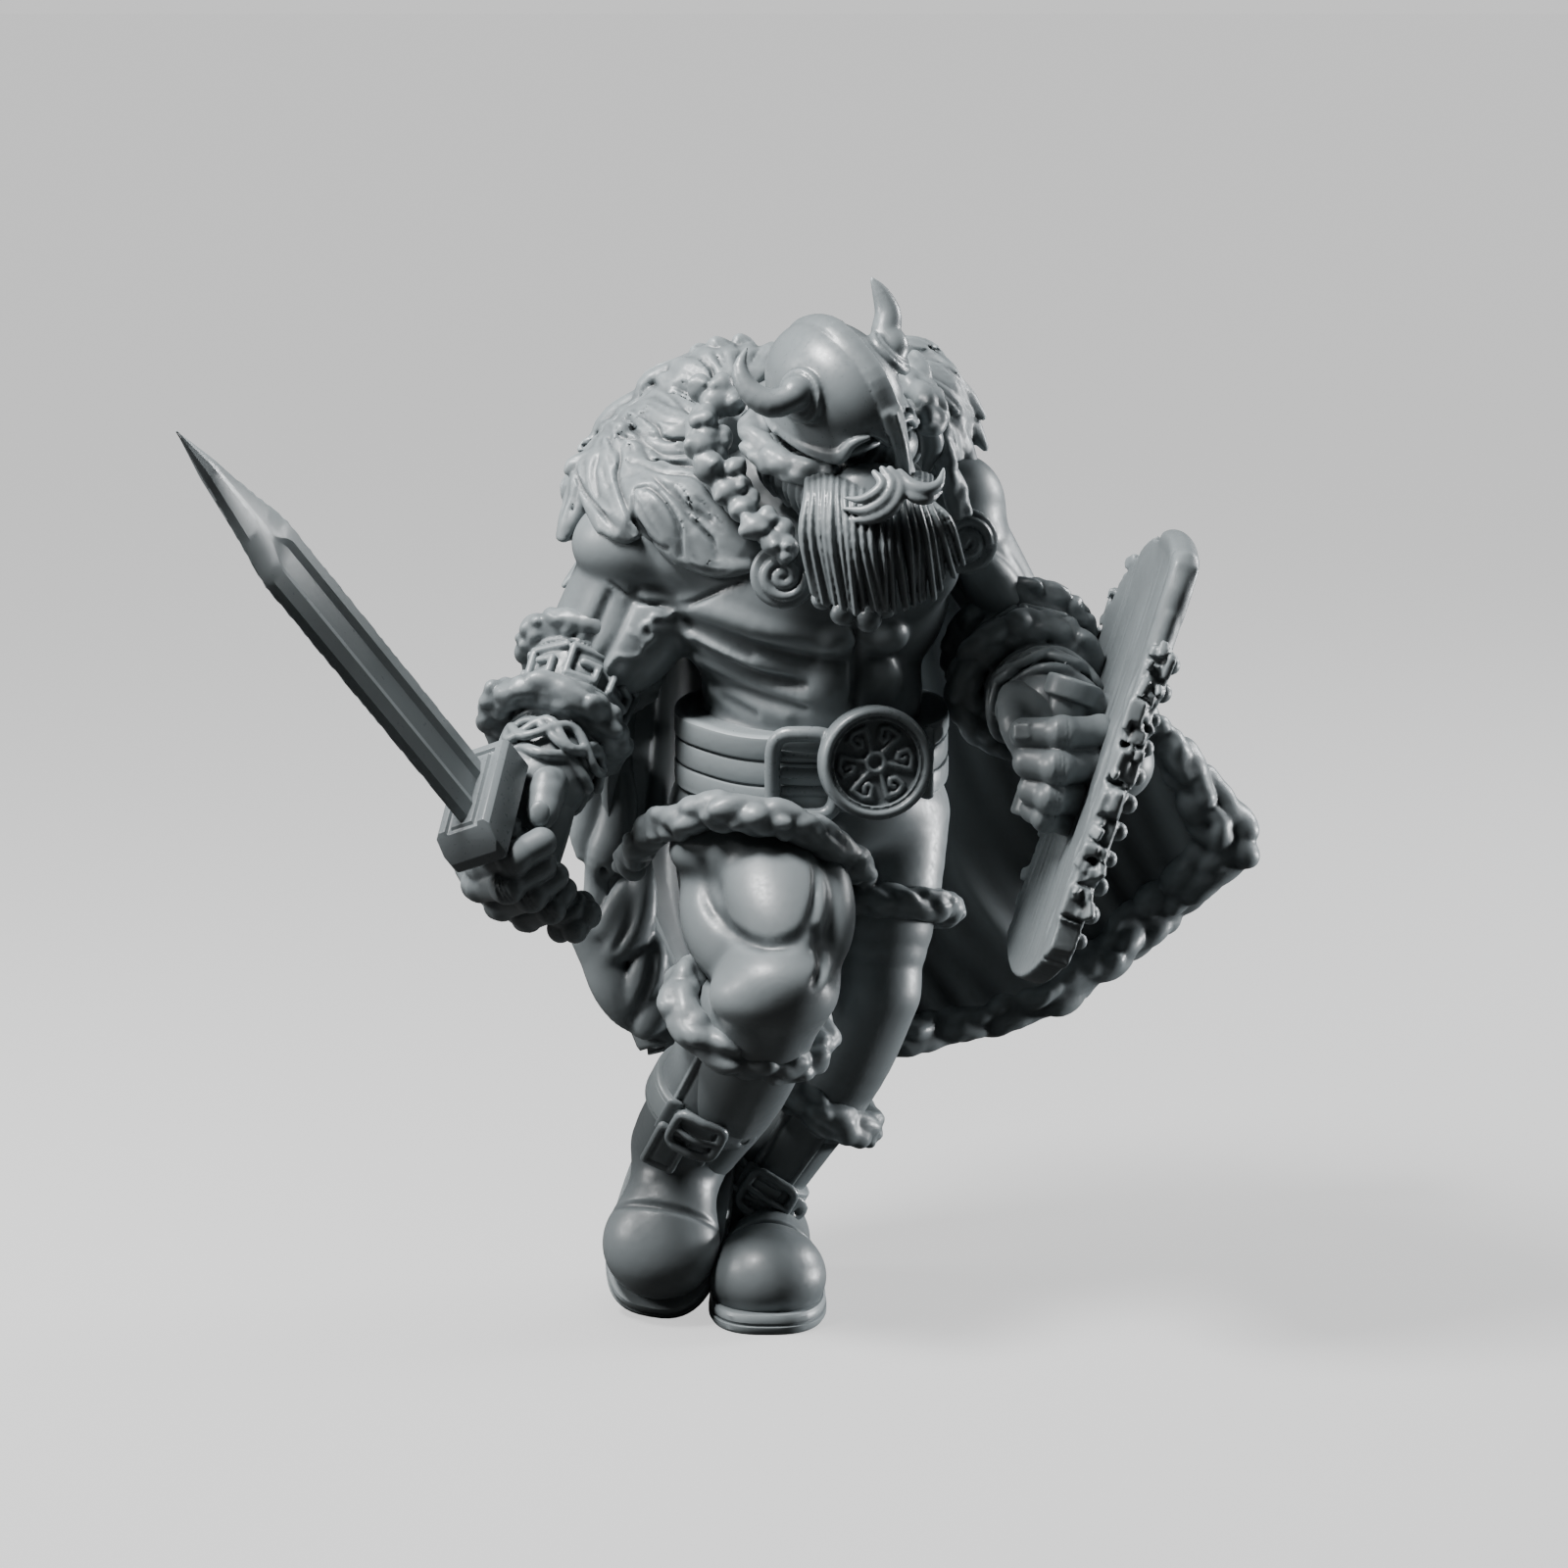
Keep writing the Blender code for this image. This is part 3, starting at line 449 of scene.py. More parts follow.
def resin(name, gloss=0.38, mottle=0.05, texture="grain", scale=2600.0, depth=0.15, stretch=(1, 1, 1), level=None):
    """A finish of the one resin: its gloss, the fine texture that the sculptor left on that surface, and the painted
    shade and highlight that its relief calls for.
    """
    material = bpy.data.materials.new(name)
    material.use_nodes = True
    nodes, links = material.node_tree.nodes, material.node_tree.links
    shader = nodes["Principled BSDF"]
    # The shared group paints shade into the hollows and a highlight onto what stands out
    look = nodes.new("ShaderNodeGroup")
    look.node_tree = RESIN
    look.inputs["Gloss"].default_value = gloss
    look.inputs["Mottle"].default_value = mottle
    if level:
        look.inputs["Level"].default_value = (*level, 1)
    links.new(look.outputs["Color"], shader.inputs["Base Color"])
    links.new(look.outputs["Roughness"], shader.inputs["Roughness"])
    place = nodes.new("ShaderNodeTexCoord")
    turn = nodes.new("ShaderNodeMapping")
    turn.inputs["Scale"].default_value = stretch
    links.new(place.outputs["Object"], turn.inputs["Vector"])
    if texture == "pebble":
        pattern = nodes.new("ShaderNodeTexVoronoi")
        pattern.feature = "SMOOTH_F1"
        height = pattern.outputs["Distance"]
    elif texture == "wood":
        pattern = nodes.new("ShaderNodeTexNoise")
        pattern.inputs["Detail"].default_value = 5
        height = pattern.outputs["Fac"]
    else:
        pattern = nodes.new("ShaderNodeTexNoise")
        pattern.inputs["Detail"].default_value = 2
        height = pattern.outputs["Fac"]
    pattern.inputs["Scale"].default_value = scale
    links.new(turn.outputs["Vector"], pattern.inputs["Vector"])
    bump = nodes.new("ShaderNodeBump")
    bump.inputs["Strength"].default_value = depth
    bump.inputs["Distance"].default_value = 0.0001
    links.new(height, bump.inputs["Height"])
    links.new(bump.outputs["Normal"], shader.inputs["Normal"])
    shader.inputs["Metallic"].default_value = 0.0
    shader.inputs["IOR"].default_value = 1.5
    return material


def finish(thing, look, reach=10):
    """Shade the piece smooth, mark its relief for the painted shade and highlight, give it its finish, and fix it to
    the casting.
    """
    mesh = thing.data
    mesh.shade_smooth()
    mark_relief(mesh, reach)
    mesh.materials.clear()
    mesh.materials.append(look)
    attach(thing, "root")
    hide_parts("viking_figure")
    return thing


# The share of the faces that each cast piece keeps: the flat stretches give up theirs first
FACES_KEPT = 0.37


def thin_out(thing, kept):
    """Leave faces out where the skin is plain, so that the whole figure stays light."""
    thinning = thing.modifiers.new("thinning", "DECIMATE")
    thinning.ratio = kept
    bpy.context.view_layer.objects.active = thing
    bpy.ops.object.modifier_apply(modifier=thinning.name)
    return thing


def cast(clay, name, look, rounds=2, pull=0.45, reach=10, kept=FACES_KEPT):
    """The clay as a finished piece of the casting."""
    points, faces = clay.skin()
    pairs, shares = neighbours(len(points), faces)
    points = settled(points, pairs, shares, rounds, pull)
    mesh = bpy.data.meshes.new(name)
    mesh.from_pydata((points * STEP).tolist(), [], faces.tolist())
    thing = bpy.data.objects.new(name, mesh)
    bpy.context.scene.collection.objects.link(thing)
    return thin_out(finish(thing, look, reach), kept)


body = Clay(2.6)
body.ball(spot(22, 200, -30), (146, 110, 122), melt=0)
body.ball(spot(15, 275, -10), (156, 96, 84), melt=16)
body.ball(spot(28, 100, 0), (112, 88, 86), melt=16)
body.ball(spot(48, 95, -35), (92, 72, 82), melt=12)
body.ball(spot(28, 10, 20), (118, 90, 70), melt=16)
body.ball(spot(28, 52, 14), (130, 104, 46), melt=14)
body.ball(spot(-5, 330, 55), (140, 76, 96), melt=10)
body.limb(spots((10, 300, 0), (52, 360, -130)), [66, 52])
# Breast plates, and the stomach's two columns of muscle
body.ball(spot(-46, 234, -80), (94, 44, 46), melt=18)
body.ball(spot(112, 222, -90), (66, 44, 50), melt=18)
for across, up, wide, high in ((50, 150, 27, 19), (101, 152, 26, 19), (45, 104, 30, 30), (95, 108, 25, 28)):
    body.ball(body.front(across, up) + AWAY * 11, (wide, 21, high), melt=6)
body.strand([body.front(71, 168), body.front(74, 129), body.front(70, 82)], [2, 3.6, 3.2], melt=7, cut=True)
# The folds of the ribs run from the armpit down to the stomach, in long soft creases
swells = (
    ((-100, 186), (-64, 176), (-22, 160), (24, 152)), ((-94, 153), (-60, 138), (-22, 123), (16, 114)),
    ((-84, 128), (-50, 110), (-10, 94), (20, 86)), ((-70, 98), (-36, 82), (2, 70)),
)
for swell in swells:
    body.strand([body.front(*place) + AWAY * 4 for place in swell], [5, 8.5, 9, 5], melt=14)
creases = (
    ((-106, 170), (-70, 155), (-30, 140), (14, 130), (30, 128)), ((-90, 142), (-58, 125), (-18, 109), (20, 102)),
    ((-80, 116), (-45, 99), (-4, 84), (20, 78)), ((-98, 160), (-66, 144), (-36, 131)), ((-62, 88), (-30, 72)),
)
for i, crease in enumerate(creases):
    deep = 2.8 if i < 3 else 1.8
    body.strand([body.front(*place) for place in crease], [0.8, deep, deep, 0.8], melt=11, cut=True)
# The sword arm: the cap of the shoulder overhangs long bundles of muscle
body.limb(spots((-150, 215, -25), (-176, 162, 0), (-199, 116, 14)), [60, 58, 50])
body.form(spot(-106, 208, -62), spot(-182, 98, -16), 44, 44, melt=14)
body.form(spot(-176, 222, 8), spot(-214, 110, 36), 40, 36, melt=12)
body.form(spot(-166, 212, -66), spot(-208, 112, -26), 17, 24, melt=9)
for line in (((-150, 200), (-172, 152), (-192, 116)), ((-178, 194), (-196, 152), (-210, 120))):
    body.strand([body.front(*place) for place in line], [0.8, 2, 0.8], melt=10, cut=True)
body.ball(spot(-136, 246, -40), (80, 66, 56), melt=4)
under = [body.front(*place, lift=-1) for place in ((-176, 206), (-150, 188), (-124, 183), (-96, 184), (-60, 200), (-42, 206))]
body.strand(under, [0.8, 2.6, 3, 2, 0.8], melt=5, cut=True, pieces=14)
body.ball(spot(-84, 232, -82), (58, 30, 34), melt=12)
# The shield arm goes back and down
body.limb(spots((178, 262, 15), (212, 206, 42), (240, 154, 60)), [46, 42, 40])
body.ball(spot(176, 284, 8), (50, 56, 54), melt=12)
body.form(spot(184, 240, -22), spot(244, 158, 10), 28, 28, melt=9)
body.form(spot(206, 250, -6), spot(252, 168, 20), 16, 16, melt=6)
# Veins of the upper arm
for vein in (
    ((-112, 176), (-122, 170), (-132, 171), (-137, 163), (-132, 154), (-140, 145), (-150, 152), (-157, 155)),
    ((-132, 160), (-140, 164), (-146, 157), (-141, 149)),
    ((-140, 146), (-148, 132), (-160, 130), (-168, 132), (-177, 123), (-179, 114)),
):
    line = [body.front(*place, lift=0.5) for place in vein]
    body.strand(line, [1.8, 3.2, 3.0, 2.4], melt=1.5, pieces=18)
SKIN = resin("skin_resin", gloss=0.4, scale=900.0, depth=0.12)
cast(body, "bare_body", SKIN)

# The head: a calm, plain face in the shadow of the helmet, a moustache in nested curls, and a long
# beard combed into ropes, tied off above three beads. It leans out over the chest.

HELMET = spot(60, 405, -195)
FORWARD = heading(0.54, -0.45, 0.71)
CROWN = heading(-0.15, 0.80, 0.58)
CROWN = unit(CROWN - FORWARD * CROWN.dot(FORWARD))
RIGHT = np.cross(FORWARD, CROWN)
SKULL = np.array((RIGHT, FORWARD, CROWN))
BEARD_ROPES = 19


def on_head(right, forward, up):
    """A point by the head's own directions, from the middle of the helmet."""
    return HELMET + RIGHT * right + FORWARD * forward + CROWN * up


face = Clay(1.6)
face.ball(on_head(0, 10, -52), (55, 60, 56), SKULL, melt=0)
face.ball(on_head(0, 78, -60), (12, 17, 26), SKULL, melt=6)
for side in (1, -1):
    face.ball(on_head(side * 28, 50 + side * 6, -60), (20, 16, 22), SKULL, melt=7)
    face.ball(on_head(side * 25, 62, -34), (17, 14, 13), SKULL, melt=3, cut=True)
    face.ball(on_head(side * 24, 53, -34), (11, 11, 11), SKULL, melt=0)
    face.strand([on_head(side * 12, 70, -26), on_head(side * 26, 72, -24), on_head(side * 40, 62, -30)], 4.5)
    for i in range(4):
        start = on_head(side * 66, 34 - i * 24, -50)
        end = start - CROWN * 64 + AHEAD * 6 - FORWARD * 8
        bow = (start + end) / 2 + RIGHT * side * 8
        face.strand([start, bow, end], [8, 11, 6], [13, 14, 5], RIGHT * side, melt=2)
        face.strand([start + RIGHT * side * 9, bow + RIGHT * side * 11, end], [2, 2.5, 1], melt=2, cut=True)
face.form(spot(74, 326, -236), spot(108, 200, -204), 34, 58, melt=4)
rope_tops = [np.array(p, float) for p in ((24, 311), (42, 313), (62, 306), (88, 296), (114, 300), (134, 310), (150, 306))]
rope_ends = [np.array(p, float) for p in ((28, 196), (54, 188), (76, 183), (98, 182), (124, 186), (150, 198), (178, 231))]
rng = random.Random(5)
for layer in range(2):
    for i in range(BEARD_ROPES - layer):
        share = (i + layer * 0.5) / (BEARD_ROPES - 1)
        bulge = math.sin(share * math.pi) * 30 - layer * 5
        top, end = curve_at(rope_tops, share), curve_at(rope_ends, share)
        middle = (top + end) / 2 + np.array((share * 10 - 7, 0)) + np.array((rng.uniform(-2, 2), 0))
        line = [spot(*(top + (0, 6)), -206 - bulge * 0.8), spot(*(top - (0, 18)), -246 - bulge),
                spot(*middle, -256 - bulge)]
        line.append(spot(*(end + (middle - top) * 0.02 + np.array((rng.uniform(-4, 4), rng.uniform(-6, 4)))),
                         -228 - bulge))
        wide = rng.uniform(3.0, 4.6) - layer * 0.7
        face.strand(line, [5, 11, 12, 9.5], [wide * 0.7, wide, wide * 1.05, wide * 0.75], heading(0, 0, 1), melt=1.2,
                    pieces=11)
curls = (
    (((100, 322), (110, 306), (102, 289), (84, 279), (60, 281)), (3, 5.5, 7, 5.5, 1.5)),
    (((108, 322), (119, 303), (110, 282), (90, 271), (68, 269)), (3, 6, 7, 6, 2)),
    (((92, 318), (100, 307), (94, 297), (79, 290), (62, 292)), (3, 5, 6, 4.5, 1.5)),
    (((118, 318), (130, 304), (145, 300), (158, 306), (163, 322)), (4, 7, 7, 5, 1.5)),
    (((116, 310), (130, 295), (146, 291), (160, 298)), (3, 6, 6, 2)),
)
for path, sizes in curls:
    depth = [-292 - 10 * math.sin(i / (len(path) - 1) * math.pi) for i in range(len(path))]
    face.strand([spot(*place, d) for place, d in zip(path, depth)], list(sizes), melt=1.5, pieces=14)
for across, up, size in ((39, 189, 11), (60, 175, 13), (86, 168, 13), (104, 178, 9)):
    face.ball(spot(across, up, -204), size, melt=2)
HAIR = resin("combed_hair", gloss=0.36, scale=1200.0, depth=0.15, stretch=(1, 1, 0.15))
cast(face, "head_and_beard", HAIR, rounds=1, reach=6)

# The helmet: a round bowl beaten from one plate, with a band over the crown that runs down into the
# nose guard, a rolled brim, and a horn in a ringed socket on each side. A roll of fleece lines the brim.

bowl = Clay(1.8)
bowl.ball(on_head(10, 0, 0), (58, 87, 69), SKULL, melt=0)
bowl.ball(on_head(10, 0, -20), (61, 90, 34), SKULL, melt=8)
bowl.block(on_head(0, 0, -84), (120, 120, 58), SKULL, melt=2, cut=True)
for side in (1, -1):
    bowl.ball(on_head(side * 32, 84, -33), (23, 40, 27), SKULL, melt=3, cut=True)
for side in (1, -1):
    rim = [(side * 66, -20, -25), (side * 66, 20, -25), (side * 58, 50, -26), (side * 48, 68, -24), (side * 37, 79, -9),
           (side * 20, 87, -5)]
    bowl.strand([on_head(10 + x * 0.9, y, z) for x, y, z in rim], [3.5, 4, 4.5, 5, 4, 2], [6, 6, 7, 8, 5, 3], RIGHT * side,
                melt=3, pieces=14)
back = [on_head(10 + 61 * math.cos(math.radians(a)), 91 * math.sin(math.radians(a)), -25) for a in range(-170, -9, 20)]
bowl.strand(back, 4, 6, CROWN, melt=3, pieces=16)
band = [(0, -84, 10), (0, -62, 48), (0, 0, 70), (0, 62, 48), (0, 84, 18), (0, 92, -6)]
bowl.strand([on_head(*place) for place in band], 4, [10, 10, 10, 10, 11, 12], CROWN + FORWARD * 0.2, melt=2, pieces=20)
for side in (1, -1):
    edge = [on_head(x + side * 9, y, z) for x, y, z in band]
    bowl.strand(edge, 2.4, 2.4, CROWN, melt=1.5, pieces=20)
guard = [on_head(0, 88, 12), on_head(0, 95, -14), on_head(0, 97, -34), on_head(0, 96, -58)]
bowl.strand(guard, [6, 7, 6, 5], [12, 10, 9, 13], FORWARD, melt=2)
bowl.strand([place + FORWARD * 6 for place in guard], [3, 3.5, 3.5, 3], melt=2)
horns = (
    ((60, 24, 28), ((12, 398, -262), (8, 394, -268), (-13, 388, -270), (-35, 401, -268), (-45, 424, -264), (-37, 447, -258)),
     (15, 17, 14, 14, 11.5, 7.5, 1)),
    ((-42, 26, 31), ((110, 446, -214), (104, 459, -210), (106, 480, -206), (98, 502, -208), (88, 518, -212)),
     (16, 17, 15, 13, 8, 1)),
)
for place, path, sizes in horns:
    socket = on_head(*place)
    outward = unit(RIGHT * place[0] / 70**2 + FORWARD * place[1] / 87**2 + CROWN * place[2] / 69**2)
    ring = axes_of(outward, CROWN)
    bowl.disc(socket + outward, ring, 27, 4, 2, melt=2)
    bowl.disc(socket + outward * 4, ring, 22, 4, 2, melt=1)
    bowl.strand([socket, *spots(*path)], list(sizes), melt=2, pieces=18)
IRON = resin("beaten_iron_resin", gloss=0.33, scale=420.0, depth=0.25)
cast(bowl, "horned_helmet", IRON, rounds=2, reach=8)


def fleece(clay, points, radii, seed, spacing=0.55, lump=(0.44, 0.72), melt=4):
    """A rolled edge of curly fleece: a core along a curve, crowded with lumps."""
    rng = random.Random(seed)
    length = sum(np.linalg.norm(b - a) for a, b in zip(points, points[1:]))
    clay.strand(points, [radius * 0.72 for radius in radii], melt=melt + 2, pieces=3 * len(points))
    share = 0.0
    while share <= 1.0:
        radius = curve_at(radii, share)
        along = unit(curve_at(points, min(share + 0.02, 1)) - curve_at(points, max(share - 0.02, 0)))
        ring = axes_of(along, UPWARD)
        first = rng.uniform(0, math.tau)
        for k in range(3):
            turn = first + k * math.tau / 3 + rng.uniform(-0.6, 0.6)
            out = ring[0] * math.cos(turn) + ring[1] * math.sin(turn)
            size = radius * rng.uniform(*lump)
            centre = curve_at(points, share) + out * (radius - size * 0.8) + along * radius * rng.uniform(-0.3, 0.3)
            lie = axes_of(unit(along + ring[1] * rng.uniform(-0.8, 0.8)), out)
            clay.ball(centre, (size * rng.uniform(0.8, 1.0), size * rng.uniform(0.75, 1.0), size * rng.uniform(1.0, 1.9)), lie, melt=melt)
        share += radius * spacing / length


lining = Clay(1.8)
roll = []
for degrees in range(48, -231, -18):
    angle = math.radians(degrees)
    roll.append(on_head(86 * math.cos(angle), 88 * math.sin(angle) - 9, -48))
fleece(lining, roll, [12.0, 16.0, 18.0, 19.0, 18.0, 16.0], seed=3)
WOOL = resin("fleece_resin", gloss=0.4, scale=800.0, depth=0.2)
cast(lining, "helmet_fleece", WOOL)

# The mantle: a pelt pinned round the shoulders. Its long locks are carved one over the other, each with
# a groove or two, a roll of fleece edges the collar, and two spiral brooches hold it at the breast.

pelt = Clay(2.2)
pelt.ball(spot(-85, 316, 15), (104, 84, 78), melt=0)
pelt.ball(spot(-112, 306, 80), (98, 62, 92), melt=14)
pelt.ball(spot(-148, 294, 0), (72, 74, 60), melt=14)
pelt.ball(spot(-96, 272, -58), (88, 62, 52), melt=14)
pelt.ball(spot(-70, 388, 60), (74, 60, 54), melt=14)
pelt.ball(spot(10, 384, 72), (140, 60, 66), melt=14)
left_pelt = Clay(2.2)
left_pelt.ball(spot(143, 362, 20), (50, 64, 74), melt=0)


def skin_at(surface, place, before):
    """How far behind the hips the surface lies at a place of the front view, or the last depth beyond its edge."""
    point = surface.front(*place)
    return (point - spot(*place, 0)).dot(AWAY) if abs((point - spot(*place, 0)).dot(AWAY)) > 1e-6 else before


def carved_lock(clay, surface, path, wide, layer, seed, blunt=0.55):
    """One broad lock of the pelt, from its root to its tip, both as the front view shows them."""
    rng = random.Random(seed)
    path = [np.array(place, float) for place in path]
    places = [curve_at(path, i / 4) for i in range(5)]
    depth = skin_at(surface, places[0], 0.0)
    line = []
    for place in places:
        depth = skin_at(surface, place, depth)
        line.append(spot(*place, depth - layer * 3))
    here = line[2] + AWAY * layer * 3
    slope = surface.field_at(np.array([here + step for step in np.eye(3) * 4])) - surface.field_at(here[None])
    facing = unit(slope + AHEAD * 1.5)
    thick = 9 + wide * 0.08
    clay.strand(line, [thick * 0.7, thick, thick, thick, thick * blunt], [wide * 0.8, wide, wide, wide * 0.9, wide * blunt],
                facing, melt=4, pieces=10)
    across = unit(np.cross(facing, line[3] - line[1]))
    for shift, deep, melt in ((-0.45, 2.2, 5), (0.3, 2.2, 5), (-0.7, 1.5, 1.5), (-0.15, 1.4, 1.5), (0.65, 1.5, 1.5)):
        shift = (shift + rng.uniform(-0.15, 0.15)) * wide
        high = thick * math.sqrt(1 - (shift / wide) ** 2) + 0.6
        crease = [line[k] + across * shift * (1, 0.9, 0.7)[k - 1] + facing * high for k in (1, 2, 3)]
        clay.strand(crease, [0.6, deep, 0.6], melt=melt, cut=True, pieces=4)


shoulder, far_shoulder = Clay(2.2), Clay(2.2)
shoulder.lumps += body.lumps + pelt.lumps
far_shoulder.lumps += left_pelt.lumps
right_locks = (
    (0, 10, (-186, 308), (-206, 302), (-221, 290)), (0, 10, (-186, 330), (-206, 330), (-220, 320)),
    (0, 10, (-170, 340), (-192, 346), (-206, 342)), (0, 9, (-158, 356), (-178, 366), (-189, 364)),
    (0, 9, (-140, 368), (-160, 378), (-170, 382)), (0, 10, (-116, 384), (-138, 396), (-149, 394)),
    (0, 10, (-98, 396), (-114, 410), (-126, 411)), (0, 10, (-86, 410), (-102, 424), (-113, 426)),
    (0, 10, (-70, 424), (-82, 440), (-92, 440)), (0, 10, (-52, 430), (-62, 446), (-74, 449)),
    (0, 10, (-34, 434), (-40, 448), (-48, 453)),
    (0, 18, (-168, 362), (-178, 330), (-160, 262)), (0, 19, (-186, 344), (-194, 312), (-182, 262)),
    (1, 16, (-204, 328), (-210, 292), (-226, 252)), (0, 18, (-206, 300), (-212, 270), (-222, 254)),
    (0, 16, (-188, 278), (-176, 268), (-158, 252)), (0, 18, (-128, 262), (-100, 240), (-60, 226)),
    (0, 15, (-138, 400), (-112, 384), (-84, 372)), (0, 14, (-168, 370), (-138, 360), (-84, 344)),
    (1, 12, (-166, 380), (-140, 366), (-88, 354)), (1, 14, (-152, 388), (-124, 372), (-84, 362)),
    (0, 16, (-118, 408), (-96, 396), (-76, 386)), (1, 17, (-108, 424), (-86, 414), (-64, 400)),
    (0, 17, (-84, 438), (-72, 424), (-60, 404)), (1, 15, (-58, 440), (-56, 428), (-52, 408)),
    (0, 15, (-34, 442), (-40, 428), (-46, 408)), (0, 15, (-8, 444), (-20, 430), (-32, 412)),
    (0, 14, (-172, 352), (-140, 338), (-82, 328)), (1, 13, (-158, 334), (-126, 318), (-72, 294)),
    (1, 15, (-178, 364), (-162, 334), (-150, 282)), (1, 20, (-118, 312), (-84, 290), (-40, 262)),
    (0, 20, (-92, 276), (-60, 252), (-28, 238)), (1, 13, (-108, 238), (-74, 224), (-36, 222)),
    (1, 26, (-124, 300), (-88, 268), (-46, 238)), (1, 12, (-172, 320), (-166, 290), (-152, 254)),
    (2, 14, (-156, 326), (-126, 300), (-98, 246)), (2, 14, (-150, 306), (-136, 278), (-106, 230)),
    (2, 14, (-134, 314), (-106, 286), (-78, 228)), (2, 10, (-140, 300), (-116, 270), (-96, 238)),
)
for i, (layer, wide, *path) in enumerate(right_locks):
    carved_lock(pelt, shoulder, path, wide, layer, i)
# The long cuts between the locks
for cut in (
    ((-153, 302), (-155, 278), (-145, 256), (-118, 238)), ((-152, 300), (-138, 303), (-120, 286), (-107, 260), (-105, 232)),
    ((-160, 332), (-135, 315), (-112, 292), (-95, 270), (-74, 250), (-68, 230)), ((-115, 305), (-100, 283), (-74, 269)),
    ((-173, 366), (-167, 335), (-170, 312), (-160, 280), (-155, 255)), ((-152, 330), (-124, 318), (-95, 315), (-80, 305)),
    ((-170, 355), (-147, 350), (-137, 332), (-115, 327), (-90, 324)), ((-162, 375), (-147, 355), (-125, 337), (-95, 337)),
    ((-147, 377), (-130, 365), (-122, 352), (-95, 350)), ((-115, 408), (-97, 400), (-80, 394)),
    ((-120, 406), (-108, 390), (-92, 375)), ((-75, 425), (-70, 408)), ((-215, 325), (-205, 300), (-180, 270), (-172, 258)),
):
    pelt.strand([pelt.front(*place, lift=0.5) for place in cut], [0.8, 3.8, 3.8, 0.8], 2.6, AHEAD, melt=2.5, cut=True,
                pieces=14)
left_locks = (
    (0, 12, (112, 448), (140, 446), (164, 428)), (0, 13, (120, 438), (152, 432), (182, 404)),
    (0, 13, (126, 424), (166, 412), (204, 374)), (0, 14, (126, 408), (172, 386), (206, 342)),
    (0, 14, (130, 396), (170, 362), (196, 312)), (0, 13, (134, 380), (164, 340), (184, 284)),
    (0, 13, (136, 362), (154, 322), (170, 264)), (1, 12, (124, 428), (154, 416), (184, 390)),
    (1, 13, (128, 410), (160, 392), (190, 356)), (1, 13, (130, 392), (156, 364), (180, 322)),
    (1, 12, (132, 374), (150, 344), (162, 300)), (2, 11, (126, 414), (144, 398), (162, 372)),
    (2, 12, (130, 396), (146, 376), (160, 344)),
)
for i, (layer, wide, *path) in enumerate(left_locks):
    carved_lock(left_pelt, far_shoulder, path, wide, layer, i, blunt=0.3)
pelt.lumps += left_pelt.lumps
# Behind, shorter locks hang in rows round the shoulders
whole = Clay(2.2)
whole.lumps += shoulder.lumps + far_shoulder.lumps
rng = random.Random(33)
for row in range(6):
    for i in range(12):
        angle = math.radians(8 + i * 15.5 + row % 2 * 8 + rng.uniform(-3, 3))
        outward = np.array((math.cos(angle), math.sin(angle), 0.0))
        line = []
        for fall in (0, 26, 54):
            high = 438 - row * 36 - fall + rng.uniform(-4, 4)
            line.append(whole.meet(spot(-20, high, 40) + outward * 380, -outward))
        if any(point is None for point in line):
            continue
        facing = unit(outward + LEVEL * 0.4)
        line = [line[0] - facing * 3, line[1] + facing * 3, line[2] + facing * 3]
        pelt.strand(line, [6, 10, 3.5], [12, rng.uniform(19, 24), 6], facing, melt=3)
        across = unit(np.cross(facing, line[2] - line[0]))
        for shift in (-7, 5):
            crease = [point + across * shift * share + facing * 9 for point, share in zip(line, (1, 1, 0.4))]
            pelt.strand(crease, [1, 2.4, 1], melt=2, cut=True, pieces=5)
PELT = resin("carved_pelt_resin", gloss=0.42, scale=700.0, depth=0.2)
cast(pelt, "fur_mantle", PELT, rounds=1)

collar = Clay(1.8)
lumps = (
    (-86, 404, 14), (-63, 404, 15), (-53, 390, 14), (-81, 371, 17), (-86, 344, 17), (-63, 353, 13), (-76, 323, 16),
    (-58, 298, 17), (-47, 305, 13), (-42, 280, 14), (-17, 270, 13), (-28, 262, 16), (-1, 257, 15), (-70, 388, 15),
    (-72, 336, 14), (-66, 310, 14), (-34, 292, 12), (-12, 246, 13), (2, 240, 14), (-78, 356, 14), (-50, 322, 12),
)
rng = random.Random(9)
for across, up, size in lumps:
    centre = spot(across, up, -130 - 0.4 * (404 - up) + rng.uniform(-6, 6))
    collar.ball(centre, np.array([size * rng.uniform(0.8, 1.1) for _ in range(3)]), melt=3)
    for _ in range(3):
        turn = unit(np.array([rng.uniform(-1, 1), rng.uniform(-1.4, 0.2), rng.uniform(-1, 1)]))
        collar.ball(centre + turn * size * 0.75, size * rng.uniform(0.3, 0.5), melt=2)
fleece(collar, spots((-72, 404, -60), (-84, 366, -104), (-80, 328, -128), (-52, 292, -146), (-6, 244, -166)),
       [12.0, 14.0, 13.0, 13.0, 11.0], seed=12)
fleece(collar, spots((132, 430, -60), (150, 380, -110), (168, 320, -130), (182, 270, -120)),
       [12.0, 14.0, 13.0, 11.0], seed=13)
cast(collar, "collar_fleece", WOOL, rounds=1, reach=8)

